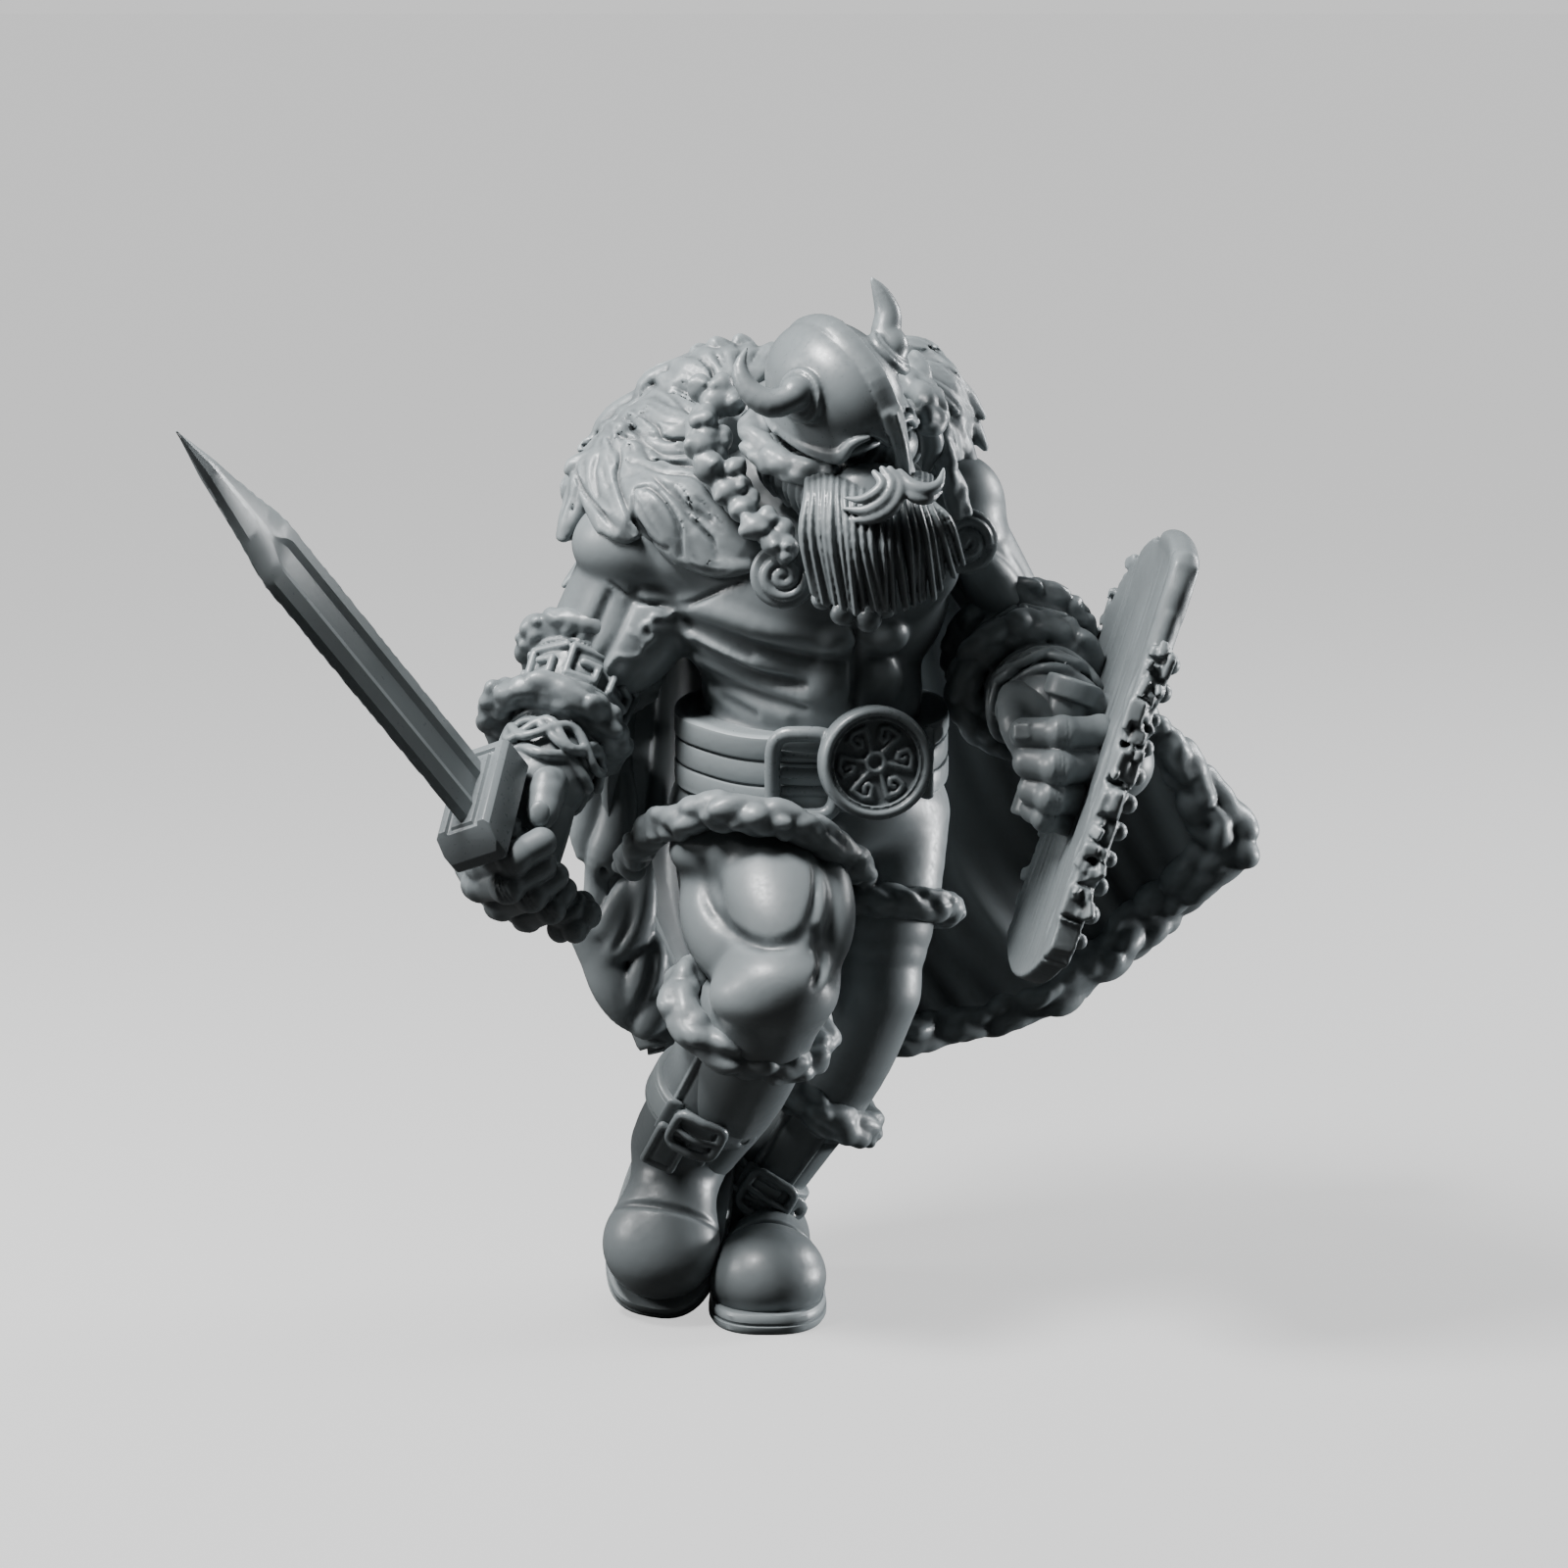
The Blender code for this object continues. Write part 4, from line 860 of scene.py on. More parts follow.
brooches = Clay(1.5)
for across, up, behind, turn in ((0, 213, -176, 1), (184, 248, -112, -1)):
    facing = heading(-0.12 * turn, -0.1, 1)
    axes = axes_of(facing, UPWARD)
    centre = spot(across, up, behind)
    brooches.disc(centre, axes, 33, 11, 6, melt=0)
    coil = []
    for i in range(31):
        angle = i / 30 * math.tau * 1.6 + 1.0
        radius = 4 + 19 * i / 30
        coil.append(centre + facing * 11 + axes[0] * math.cos(angle) * radius * turn + axes[1] * math.sin(angle) * radius)
    brooches.strand(coil, [6.5, 6, 6, 4.5], melt=1.5, pieces=36)
    brooches.ball(centre + facing * 10 + axes[0] * 3, (7, 7, 7), melt=2)
BRONZE = resin("cast_metal_resin", gloss=0.32, scale=1500.0, depth=0.1)
cast(brooches, "spiral_brooches", BRONZE, rounds=1, reach=6)

# The bracers: a leather cuff with a raised key pattern between two rolls of fleece, a thin bead round
# each roll, and a loose binding of twisted cord at the wrist. One on each forearm.


def cuff(name, elbow, wrist, radii, seed):
    """One bracer, from the elbow to the wrist."""
    clay = Clay(1.8)
    axes = axes_of(wrist - elbow, ACROSS)

    def around(share, angle, lift):
        size = radii[0] + (radii[1] - radii[0]) * share + lift
        turn = math.radians(angle)
        return elbow + (wrist - elbow) * share + (axes[0] * math.cos(turn) + axes[1] * math.sin(turn)) * size

    def hoop(share, lift, thick, wide=None, sway=0.0, waves=0, phase=0.0, melt=2):
        points = []
        for i in range(49):
            angle = i * 7.5
            wave = math.sin(math.radians(angle * waves + phase))
            points.append(around(share + sway * wave, angle, lift + (thick * 0.6 * wave if waves else 0)))
        clay.strand(points, thick, wide, wrist - elbow, melt=melt, pieces=48, smooth=False)

    clay.strand([elbow, wrist], [radii[0] - 1, radii[1] - 1], melt=0, pieces=1)
    for share in (0.2, 0.47, 0.66, 0.71):
        hoop(share, 1, 3.2)
    for share, size, lift, sag in ((0.1, 15.0, 7, 0), (0.6, 19.0, 12, 9)):
        fleece(clay, [around(share, i * 30, lift) - ACROSS * sag for i in range(13)], [size, size], seed, melt=4)
        seed += 1
    keys = 7
    for i in range(keys):
        start, width = i * 360 / keys, 360 / keys
        key = ((0.245, 0.0), (0.245, 0.84), (0.435, 0.84), (0.435, 0.22), (0.34, 0.22), (0.34, 0.56))
        line = [around(share, start + turn * width, 3) for share, turn in key]
        facing = around(0.34, start + width / 2, 1) - around(0.34, start + width / 2, 0)
        clay.strand(line, 4.5, 4.2, facing, melt=1, smooth=False)
    for phase, lift, waves in ((0, 6, 4), (150, 5, 5), (260, 4, 3)):
        hoop(0.84, lift, 5.0, sway=0.075, waves=waves, phase=phase, melt=1.5)
    hoop(0.97, 1, 5.5, sway=0.03, waves=5, melt=2)
    LEATHER_LOOK = resin(name + "_leather", gloss=0.37, texture="pebble", scale=2200.0, depth=0.12)
    cast(clay, name, LEATHER_LOOK, rounds=1, reach=8)


cuff("sword_arm_bracer", spot(-194, 138, 15), spot(-246, 2, -84), (58, 45), 31)
cuff("shield_arm_bracer", spot(240, 142, 36), spot(270, 72, -112), (62, 46), 41)

# The hands: each finger is three joints, swollen at the knuckles and creased between them, with a nail.
# The right fist holds the sword's grip, and the left the shield's handle.


def finger(clay, path, size, nail=None):
    """A bent finger through its knuckle, its two joints and its tip."""
    joints = spots(*path)
    for i in range(len(joints) - 1):
        a, b = joints[i], joints[i + 1]
        thick = size * (1.02 - 0.05 * i)
        clay.strand([a, (a + b) / 2, b], [thick, thick * 0.94, thick * 0.94], melt=2.5 if i else 5)
        if i:
            clay.ball(a + (a - (joints[i - 1] + b) / 2) * 0.1, thick * 1.06, melt=3)
            bend = axes_of(b - joints[i - 1], a - (joints[i - 1] + b) / 2)
            for shift in (-3, 1, 5):
                ring = []
                for k in range(-2, 3):
                    turn = math.radians(k * 26)
                    out = bend[0] * math.cos(turn) + bend[1] * math.sin(turn)
                    ring.append(a + bend[2] * shift + out * thick * 1.13)
                clay.strand(ring, [0.6, 1.5, 0.6], melt=2, cut=True)
    if nail is not None:
        side = axes_of(joints[-1] - joints[-2], nail)
        centre = joints[-1] + side[0] * size * 0.62 - side[2] * size * 0.1
        clay.block(centre, (5, size * 0.5, size * 0.56), side, corner=4, melt=1)


guard_at = spot(-308, -22, -175)
blade_tip = spot(-620, 360, -470)
blade_axis = unit(blade_tip - guard_at)
GRIP_LENGTH = 172
pommel_at = guard_at - blade_axis * GRIP_LENGTH
fist = Clay(1.7)
wrist = spot(-246, 2, -84)
fist.limb([wrist, spot(-256, -40, -92), spot(-264, -66, -94)], [38, 38, 38], melt=0)
fist.form(spot(-244, -34, -86), spot(-308, -104, -98), 30, 44, heading(-0.4, 0.6, -0.5), melt=8)
for path, size in (
    (((-322, -66, -104), (-306, -84, -150), (-276, -76, -190), (-248, -60, -178)), 18),
    (((-318, -84, -86), (-310, -102, -138), (-282, -104, -178), (-248, -82, -162)), 18),
    (((-302, -104, -68), (-288, -122, -120), (-258, -114, -158), (-234, -94, -142)), 17),
    (((-280, -122, -56), (-262, -136, -100), (-238, -128, -134), (-224, -108, -114)), 15),
):
    finger(fist, path, size)
fist.limb(spots((-236, 14, -92), (-243, -10, -134)), [20, 19], melt=5)
fist.form(spot(-240, 4, -128), spot(-249, -46, -160), 15, 17, heading(0, 0, 1), melt=4)
fist.ball(spot(-249, -30, -171), (5, 10, 13), axes_of(UPWARD, heading(0.1, 0.2, 1)), melt=1)
fist.ball(spot(-243, 6, -132), (12, 12, 10), melt=4)
cast(fist, "sword_hand", SKIN, rounds=1, reach=8)

SHIELD_TOP = heading(0.315, 0.949, 0)
SHIELD_FRONT = heading(0.110, -0.035, 0.993)
SHIELD_OUT = unit(np.cross(SHIELD_TOP, SHIELD_FRONT))
SHIELD_OUT = SHIELD_OUT if SHIELD_OUT[0] > 0 else -SHIELD_OUT
SHIELD_AT = spot(323, 27, -140)
palm = Clay(1.7)
palm.form(spot(262, 92, -104), spot(282, 2, -140), 44, 42, melt=0)
palm.form(spot(236, 96, -112), spot(262, 52, -168), 22, 24, melt=8)
for path, size, nail in (
    (((338, 50, -128), (322, 52, -180), (284, 52, -202), (246, 52, -188)), 18, heading(0.3, 0.1, 1)),
    (((334, 20, -120), (314, 20, -180), (280, 17, -204), (250, 22, -188)), 19, None),
    (((320, -8, -112), (300, -14, -172), (274, -14, -196), (254, -6, -182)), 18, None),
    (((304, -32, -104), (288, -36, -162), (268, -34, -184), (254, -26, -170)), 15.5, None),
):
    finger(palm, path, size, nail)
palm.limb(spots((238, 86, -122), (238, 60, -160), (247, 34, -176)), [20, 18, 14], melt=5)
cast(palm, "shield_hand", SKIN, rounds=1, reach=8)

# The sword: a broad two-edged blade with a groove down each flat, ground to a short point, a heavy
# faceted guard with a sunk border on its faces, a bound grip, and a lobed pommel.

BLADE_WIDTH = 90
BLADE_THICKNESS = 17
BLADE_POINT = 160
width_axis = heading(0.144, 0.683, -0.72)
width_axis = unit(width_axis - blade_axis * blade_axis.dot(width_axis))
flat_axis = np.cross(width_axis, blade_axis)
blade_length = np.linalg.norm(blade_tip - guard_at)
rng = random.Random(17)
rings = []
for i in range(81):
    along = blade_length * i / 80
    point = max(0.0, (along - blade_length + BLADE_POINT) / BLADE_POINT)
    half = BLADE_WIDTH / 2 * (1.0 + 0.05 * along / blade_length) * max(1 - point, 0.012)
    thick = BLADE_THICKNESS / 2 * min(1.0, (1 - point) * 3 + 0.08)
    groove = min(1.0, max(0.0, (blade_length - BLADE_POINT + 14 - along) / 22))
    floor_at = thick - 3.0 * groove
    ridge = 16 * groove * (1 - point) + 3 * (1 - point)
    lip = 2.4 * min(1.0, (1 - point) * 2)
    nick = rng.choice((0, 0, 0, 1.2, 2.0)) if 0.15 < along / blade_length < 0.95 else 0
    profile = ((half - nick, 0.7), (half * 0.72 + ridge * 0.28, thick * 0.62), (ridge + lip, thick), (ridge, thick - 0.8 * groove),
               (ridge * 0.66, floor_at), (-ridge * 0.66, floor_at), (-ridge, thick - 0.8 * groove), (-ridge - lip, thick),
               (-half * 0.72 - ridge * 0.28, thick * 0.62), (-half, 0.7))
    profile += tuple((-x, -y) for x, y in profile)
    rings.append([guard_at + blade_axis * along + width_axis * x + flat_axis * y for x, y in profile])


def lofted(name, rings, closed_ends=True):
    """A skin through outlines of equal count, one after another."""
    shape = bmesh.new()
    rows = [[shape.verts.new(point * STEP) for point in ring] for ring in rings]
    for low, high in zip(rows, rows[1:]):
        for j, vert in enumerate(low):
            k = (j + 1) % len(low)
            shape.faces.new((vert, low[k], high[k], high[j]))
    if closed_ends:
        shape.faces.new(rows[0][::-1])
        shape.faces.new(rows[-1])
    bmesh.ops.recalc_face_normals(shape, faces=shape.faces)
    if shape.calc_volume(signed=True) < 0:
        bmesh.ops.reverse_faces(shape, faces=shape.faces)
    mesh = bpy.data.meshes.new(name)
    shape.to_mesh(mesh)
    shape.free()
    thing = bpy.data.objects.new(name, mesh)
    bpy.context.scene.collection.objects.link(thing)
    return thing


def crisp(thing, look, degrees=28, reach=3):
    """Finish a piece that keeps its edges."""
    finish(thing, look, reach)
    thing.data.set_sharp_from_angle(angle=math.radians(degrees))


STEEL = resin("ground_blade_resin", gloss=0.34, scale=500.0, depth=0.12, level=(0.27, 0.30, 0.31))
crisp(lofted("sword_blade", rings), STEEL, degrees=18, reach=0)


def place_at(thing, centre, axes):
    """Turn and move a piece that was made at the origin, in steps, to its place in the figure."""
    matrix = Matrix([[*(axes[:, row] * STEP), centre[row] * STEP] for row in range(3)] + [[0, 0, 0, 1]])
    thing.data.transform(matrix)


def pick_faces(test):
    """Select the faces that pass the test, in edit mode."""
    edit = bmesh.from_edit_mesh(bpy.context.object.data)
    for face_ in edit.faces:
        face_.select_set(False)
    for face_ in edit.faces:
        if test(face_):
            face_.select_set(True)
    bmesh.update_edit_mesh(bpy.context.object.data)


GUARD_SIZE = (62, 132, 46)
bpy.ops.object.select_all(action="DESELECT")
bpy.ops.mesh.primitive_cube_add(size=1)
hilt = bpy.context.object
hilt.name = "sword_guard"
hilt.scale = GUARD_SIZE
bpy.ops.object.transform_apply(scale=True)
bpy.ops.object.mode_set(mode="EDIT")
bpy.ops.mesh.select_all(action="SELECT")
bpy.ops.mesh.bevel(offset=5, segments=1, affect="EDGES")
for towards in (1, -1):
    pick_faces(lambda f: f.normal.z * towards > 0.95)
    bpy.ops.mesh.inset(thickness=7, depth=0)
    bpy.ops.mesh.inset(thickness=1.5, depth=-4)
    bpy.ops.mesh.inset(thickness=4, depth=0)
    bpy.ops.mesh.inset(thickness=1.5, depth=4)
bpy.ops.mesh.select_all(action="SELECT")
bpy.ops.mesh.bisect(plane_co=(0, -60, 4), plane_no=(0, -0.88, 0.47), clear_outer=True, use_fill=True)
bpy.ops.object.mode_set(mode="OBJECT")
soften = hilt.modifiers.new("worn_edges", "BEVEL")
soften.width = 1.4
soften.segments = 2
soften.limit_method = "ANGLE"
soften.angle_limit = math.radians(25)
bpy.ops.object.modifier_apply(modifier=soften.name)
place_at(hilt, guard_at, axes_of(blade_axis, flat_axis))
crisp(hilt, BRONZE, degrees=30, reach=0)

pommel = Clay(1.6)
pommel.strand([guard_at, pommel_at], [17, 16], melt=0, pieces=1)
for i in range(11):
    start = guard_at + (pommel_at - guard_at) * (0.08 + i * 0.085)
    bound = []
    for k in range(13):
        angle = math.tau * k / 12
        side = axes_of(blade_axis, UPWARD)
        bound.append(start - blade_axis * k * 1.1 + (side[0] * math.cos(angle) + side[1] * math.sin(angle)) * 16)
    pommel.strand(bound, 4.5, melt=2, pieces=12)
side = axes_of(blade_axis, UPWARD)
for i in range(5):
    angle = math.tau * i / 5
    centre = pommel_at + (side[0] * math.cos(angle) + side[1] * math.sin(angle)) * 17
    pommel.ball(centre, (14, 14, 15), melt=2)
pommel.ball(pommel_at - blade_axis * 10, 13, melt=3)
pommel.disc(pommel_at + blade_axis * 14, side, 22, 6, 3, melt=2)
cast(pommel, "grip_and_pommel", BRONZE, rounds=1, reach=8)

# The belt: a broad strap of leather with two sewn grooves, a D-shaped frame, and a round buckle with a
# thick rim and six hooked rays round a stud. The strap's free end is tucked in at the figure's left.

BELT_AT = spot(28, 42, 12)
BELT_TURN = np.array(Matrix.Rotation(math.radians(8), 3, "X"))


def on_belt(angle, height, lift=0.0):
    """A point on the strap: the angle runs round the waist, from the figure's left."""
    turn = math.radians(angle)
    return BELT_AT + BELT_TURN @ np.array((math.cos(turn) * (137 + lift), math.sin(turn) * (112 + lift), height))


profile = ((-38, -6), (-38, 0), (-35, 3), (-30, 3.4), (-16, 3.4), (-14, 2.6), (-13, 0), (-11, 0), (-10, 2), (-8, 2.6),
           (10, 2.6), (12, 2), (13, 0), (15, 0), (16, 2.6), (18, 3.4), (34, 3.4), (38, 3), (40, 0), (40, -6))
strap = []
for height, lift in profile:
    strap.append([on_belt(i * 2.5, height + math.sin(i * 0.31) * 0.8, lift + math.sin(i * 0.17) * 0.7) for i in range(144)])
BELT_LOOK = resin("belt_leather", gloss=0.35, texture="pebble", scale=1800.0, depth=0.12)
crisp(lofted("belt", strap), BELT_LOOK, degrees=40, reach=4)

buckle = Clay(1.5)
BUCKLE_AT = spot(93, 22, -124)
BUCKLE_FACE = heading(0.16, -0.1, 1)
dial = axes_of(BUCKLE_FACE, UPWARD)


def on_dial(radius, turn, lift):
    """A point of the round buckle, turned from its top."""
    return BUCKLE_AT + BUCKLE_FACE * lift + (dial[0] * math.cos(turn) + dial[1] * math.sin(turn)) * radius


buckle.disc(BUCKLE_AT, dial, 57, 12, 4, melt=0)
buckle.disc(BUCKLE_AT - BUCKLE_FACE * 12, dial, 48, 16, 3, melt=2)
buckle.disc(BUCKLE_AT + BUCKLE_FACE * 13, dial, 43, 11, 1, melt=1, cut=True)
for radius, lift, size, cut in ((51, 11, 4.5, False), (46, 11.5, 1.4, True), (9, 3.5, 2.6, False)):
    circle = [on_dial(radius, math.tau * i / 48, lift) for i in range(49)]
    buckle.strand(circle, size, melt=2, cut=cut, pieces=48, smooth=False)
for i in range(6):
    hook = ((11, 0.1), (36, 0.0), (37.5, 0.34), (35, 0.56), (25, 0.56), (22, 0.36), (27, 0.26), (30.5, 0.34))
    ray = [on_dial(radius, math.tau * i / 6 + turn + 0.35, 3) for radius, turn in hook]
    buckle.strand(ray, [2.4, 2.8, 2.8, 2.4], 2.6, BUCKLE_FACE, melt=1, smooth=False)
frame_line = []
for i in range(33):
    angle = math.tau * i / 32
    across = math.copysign(abs(math.cos(angle)) ** 0.5, math.cos(angle))
    high = math.copysign(abs(math.sin(angle)) ** 0.5, math.sin(angle))
    frame_line.append(on_belt(-93 + across * 12.5, high * 43 + 5, 12))
buckle.strand(frame_line, 8, 8, AHEAD, melt=2, pieces=32, smooth=False)
for height in (-15, 4, 22):
    buckle.strand([on_belt(-103, height, 3), on_belt(-82, height, 3)], 3, 6.5, AHEAD, melt=2, pieces=1)
for angle in (-50, -36):
    buckle.strand([on_belt(angle, -34, 7), on_belt(angle, 36, 7)], 4, 7, AHEAD, melt=2, pieces=1)
cast(buckle, "belt_buckle", BRONZE, rounds=1, reach=6)

# The legs: short breeches over both thighs, gathered in a roll of fleece, a bare thigh and knee on the
# raised right leg, and both calves. All of it is one skin, and the hems are rolls of their own.

legs = Clay(2.7)
legs.ball(spot(26, -15, 20), (128, 98, 80), melt=0)
legs.ball(spot(-30, -30, 66), (88, 70, 74), melt=12)
legs.limb(spots((-28, -30, 40), (-20, -110, -42), (-6, -195, -143)), [88, 84, 62], melt=16)
legs.ball(spot(-30, -66, -78), (86, 56, 46), melt=16)
legs.form(spot(-24, -50, -92), spot(8, -172, -196), 32, 50, heading(0, 0.4, 1), melt=12)
legs.form(spot(-76, -76, -48), spot(-58, -196, -148), 36, 38, melt=12)
legs.form(spot(38, -66, -78), spot(46, -186, -158), 32, 30, melt=9)
legs.ball(spot(-12, -216, -178), (62, 50, 40), melt=20)
legs.ball(spot(-2, -200, -198), (40, 30, 24), melt=18)
legs.limb(spots((-14, -225, -150), (-50, -300, -60), (-88, -360, 20)), [54, 56, 48], melt=10)
legs.limb(spots((100, -30, 40), (98, -120, 25), (88, -205, 20)), [70, 60, 46], melt=14)
legs.limb(spots((92, -210, 20), (64, -270, 42), (36, -330, 66)), [48, 50, 42], melt=10)
legs.form(spot(96, -200, 60), spot(60, -310, 76), 32, 38, melt=8)
for line in (
    ((-84, -80), (-78, -118), (-52, -150), (-18, -166), (14, -158), (28, -136), (32, -84)),
    ((32, -150), (38, -176), (32, -204)),
):
    legs.strand([legs.front(*place) for place in line], [0.8, 2.4, 2.6, 0.8], melt=12, cut=True, pieces=14)
cast(legs, "breeches_and_legs", SKIN, rounds=3, reach=12)

hems = Clay(2.2)
hem = ((-158, -84, 30), (-148, -64, -20), (-128, -42, -64), (-102, -38, -104), (-77, -28, -130), (-40, -32, -146),
       (2, -38, -146), (30, -50, -128), (51, -66, -104), (71, -82, -70), (84, -92, -20))
fleece(hems, spots(*hem), [17.0, 19.0, 20.0, 19.0, 18.0], seed=51)


def loop(centre, axis, facing, wide, deep, count=12):
    """Points round an oval that lies square to the axis, with the first repeated at the end."""
    axes = axes_of(axis, facing)
    turns = [math.tau * i / count for i in range(count + 1)]
    return [centre + axes[0] * math.cos(a) * wide + axes[1] * math.sin(a) * deep for a in turns]


thigh = spot(92, -205, 20) - spot(105, -30, 40)
fleece(hems, loop(spot(110, -124, 25), thigh, ACROSS, 58, 62), [17.0, 17.0], seed=52)
cast(hems, "breeches_hems", WOOL)

# The boots: a leather shaft and a domed toe with a stitched cap, two straps with square buckles, a
# fleece cuff, and a thick flat sole. The left boot is planted, and the right one comes down on its toe.

SOLE_THICKNESS = 20
SOLE_WIDTH = 134


def boot(name, sole, ankle, cuff_at, forward, up, shaft, cuff_size, length, strap_share, seed):
    """One boot, from its sole's middle, with its strap, buckle, cuff and sole."""
    side = np.cross(forward, up)
    foot = np.array((side, forward, up))
    k = length / SOLE_LENGTH

    def on_foot(across, along, high):
        return sole + side * across + forward * along * k + up * high

    clay = Clay(2.0)
    clay.ball(on_foot(0, 56, 42), (60, 62 * k, 50), foot, melt=0)
    clay.ball(on_foot(0, 6, 48), (46, 80 * k, 47), foot, melt=16)
    clay.ball(on_foot(0, -64, 46), (44, 50 * k, 50), foot, melt=12)
    clay.limb([on_foot(0, -46, 50), ankle, (ankle + cuff_at) / 2, cuff_at], shaft, melt=12)
    clay.block(on_foot(0, 0, -60), (140, 200, 68), foot, corner=1, melt=1, cut=True)
    cap = []
    for i in range(17):
        a = math.pi * i / 16
        place = on_foot(66 * math.cos(a), 30 + 8 * math.sin(a), 26 + 70 * math.sin(a))
        cap.append(place)
    clay.strand(cap, 5.5, melt=1.5, cut=True, pieces=24)
    axis = unit(cuff_at - ankle)
    reach = np.linalg.norm(cuff_at - ankle)
    front = axes_of(axis, heading(0.1, 0, 1))
    size = curve_at([float(x) for x in shaft[1:]], strap_share) + 3
    centre = ankle + axis * reach * strap_share

    def on_shaft(turn, share, lift):
        angle = math.radians(turn)
        wide = curve_at([float(x) for x in shaft[1:]], share) + lift
        return ankle + axis * reach * share + (front[0] * math.cos(angle) + front[1] * math.sin(angle)) * wide

    for turn in (-34, 30):
        clay.strand([on_shaft(turn, share, 0.5) for share in (0.95, 0.75, 0.5, 0.1)], 3, melt=1.5)
        clay.strand([on_shaft(turn + 6, share, 0.5) for share in (0.95, 0.75, 0.5, 0.1)], 1.6, melt=1.5, cut=True)
    flap = axes_of(-axis, front[0])
    tab = centre - axis * 36 + front[0] * (size + 1) - front[1] * 16
    clay.block(tab, (5, 19, 30), flap, corner=5, melt=2)
    clay.block(tab + front[0] * 5, (2.4, 13, 23), flap, corner=2, melt=1, cut=True)
    clay.block(tab + front[0] * 1.2, (3.4, 10.5, 20.5), flap, corner=3, melt=1)
    look = resin(name + "_leather", gloss=0.38, texture="pebble", scale=1500.0, depth=0.12)
    cast(clay, name, look, rounds=1, reach=8)

    band = []
    for high, lift in ((-18, -8), (-18, 2), (-16, 4.5), (-13, 5), (-12, 4), (-11, 5), (11, 5), (12, 4), (13, 5), (16, 4.5),
                       (18, 2), (18, -8)):
        ring = loop(centre + axis * high, axis, front[0], size + lift, size + lift, 64)[:-1]
        band.append([point + axis * math.sin(i * 0.2) * 1.2 for i, point in enumerate(ring)])
    crisp(lofted(name + "_strap", band), look, degrees=40, reach=4)

    clasp = Clay(1.6)
    middle = centre + front[0] * (size + 11) + front[1] * 4
    frame_points = []
    for i in range(25):
        a = math.tau * i / 24
        wide = math.copysign(abs(math.cos(a)) ** 0.4, math.cos(a)) * 25
        high = math.copysign(abs(math.sin(a)) ** 0.4, math.sin(a)) * 22
        frame_points.append(middle + front[1] * wide + axis * high - front[0] * wide**2 * 0.008)
    clasp.strand(frame_points, 4.8, melt=0, pieces=24, smooth=False)
    clasp.strand([middle - front[1] * 24 - front[0] * 5, middle + front[0] * 3, middle + front[1] * 26 - front[0] * 4], 3.4,
                 melt=1.5)
    for turn, high in ((-30, 0), (26, 0)):
        clasp.strand([on_shaft(turn, strap_share, 6) - axis * 19, on_shaft(turn, strap_share, 6) + axis * 19], 4, 9,
                     front[0], melt=1.5, pieces=1)
    tip_line = [on_shaft(turn, strap_share, 9 + max(0, turn - 40) * 0.25) for turn in (24, 38, 52, 64)]
    clasp.strand(tip_line, 3.6, [15, 15, 15, 9], front[0] + front[1], melt=1.5)
    hole = on_shaft(52, strap_share, 16)
    clasp.ball(hole, (5, 5, 5), melt=1, cut=True)
    cast(clasp, name + "_buckle", BRONZE, rounds=1, reach=6)

    wool = Clay(2.2)
    fleece(wool, loop(cuff_at, cuff_at - ankle, ACROSS, *cuff_size), [19.0, 20.0, 19.0, 20.0, 19.0], seed)
    cast(wool, name + "_cuff", WOOL)
    outline = []
    levels = ((0, 3), (0, 0), (3, -2), (8, -2), (9, 0), (11, 0), (12, -1), (SOLE_THICKNESS - 3, -1),
              (SOLE_THICKNESS, 1), (SOLE_THICKNESS, 8))
    for level, inset in levels:
        ring = []
        for i in range(64):
            angle = math.tau * i / 64
            along = math.copysign(abs(math.cos(angle)) ** 0.75, math.cos(angle))
            across = math.copysign(abs(math.sin(angle)) ** 0.75, math.sin(angle))
            width = SOLE_WIDTH / 2 * (0.88 + 0.12 * along) - inset - 2
            ring.append(sole + side * across * width + forward * along * (length / 2 - inset - 2) + up * level)
        outline.append(ring)
    crisp(lofted(name + "_sole", outline), resin(name + "_sole", gloss=0.4, scale=900.0, depth=0.15), degrees=35)


boot("left_boot", np.zeros(3), np.array((-20.0, 56, 84)), spot(36, -320, 70), AHEAD, LEVEL,
     [38, 37, 40, 46], (58, 54), SOLE_LENGTH, 0.22, 61)
DOWN = heading(-0.20, -0.86, 0.47)
INSTEP = heading(-0.05, 0.45, 0.88)
INSTEP = unit(INSTEP - DOWN * DOWN.dot(INSTEP))
right_sole = spot(-135, -540, -4) - DOWN * SOLE_LENGTH * 0.45 + INSTEP * 2
right_ankle = right_sole - DOWN * 50 + INSTEP * 74
boot("right_boot", right_sole, right_ankle, spot(-36, -238, -106), DOWN, INSTEP,
     [50, 49, 52, 56], (76, 62), SOLE_LENGTH * 0.95, 0.36, 62)

# The cape: one thick sheet that hangs in folds from under the mantle and flies out to the left, with a
# roll of fleece along its hem and its left edge.

CAPE_THICKNESS = (42.0, 30.0, 15.0, 11.0, 10.0)
CAPE_ROWS = (
    ((-185, 260, 62), (-105, 350, 96), (15, 385, 118), (125, 346, 112), (216, 240, 92)),
    ((-198, 90, 84), (-110, 110, 150), (15, 110, 178), (150, 110, 176), (288, 140, 170)),
    ((-196, -84, 104), (-122, -95, 176), (20, -95, 214), (190, -80, 240), (384, 44, 240)),
    ((-120, -250, 116), (-80, -276, 172), (78, -264, 226), (282, -205, 296), (450, -56, 300)),
)
CAPE_SPOTS = [spots(*row) for row in CAPE_ROWS]


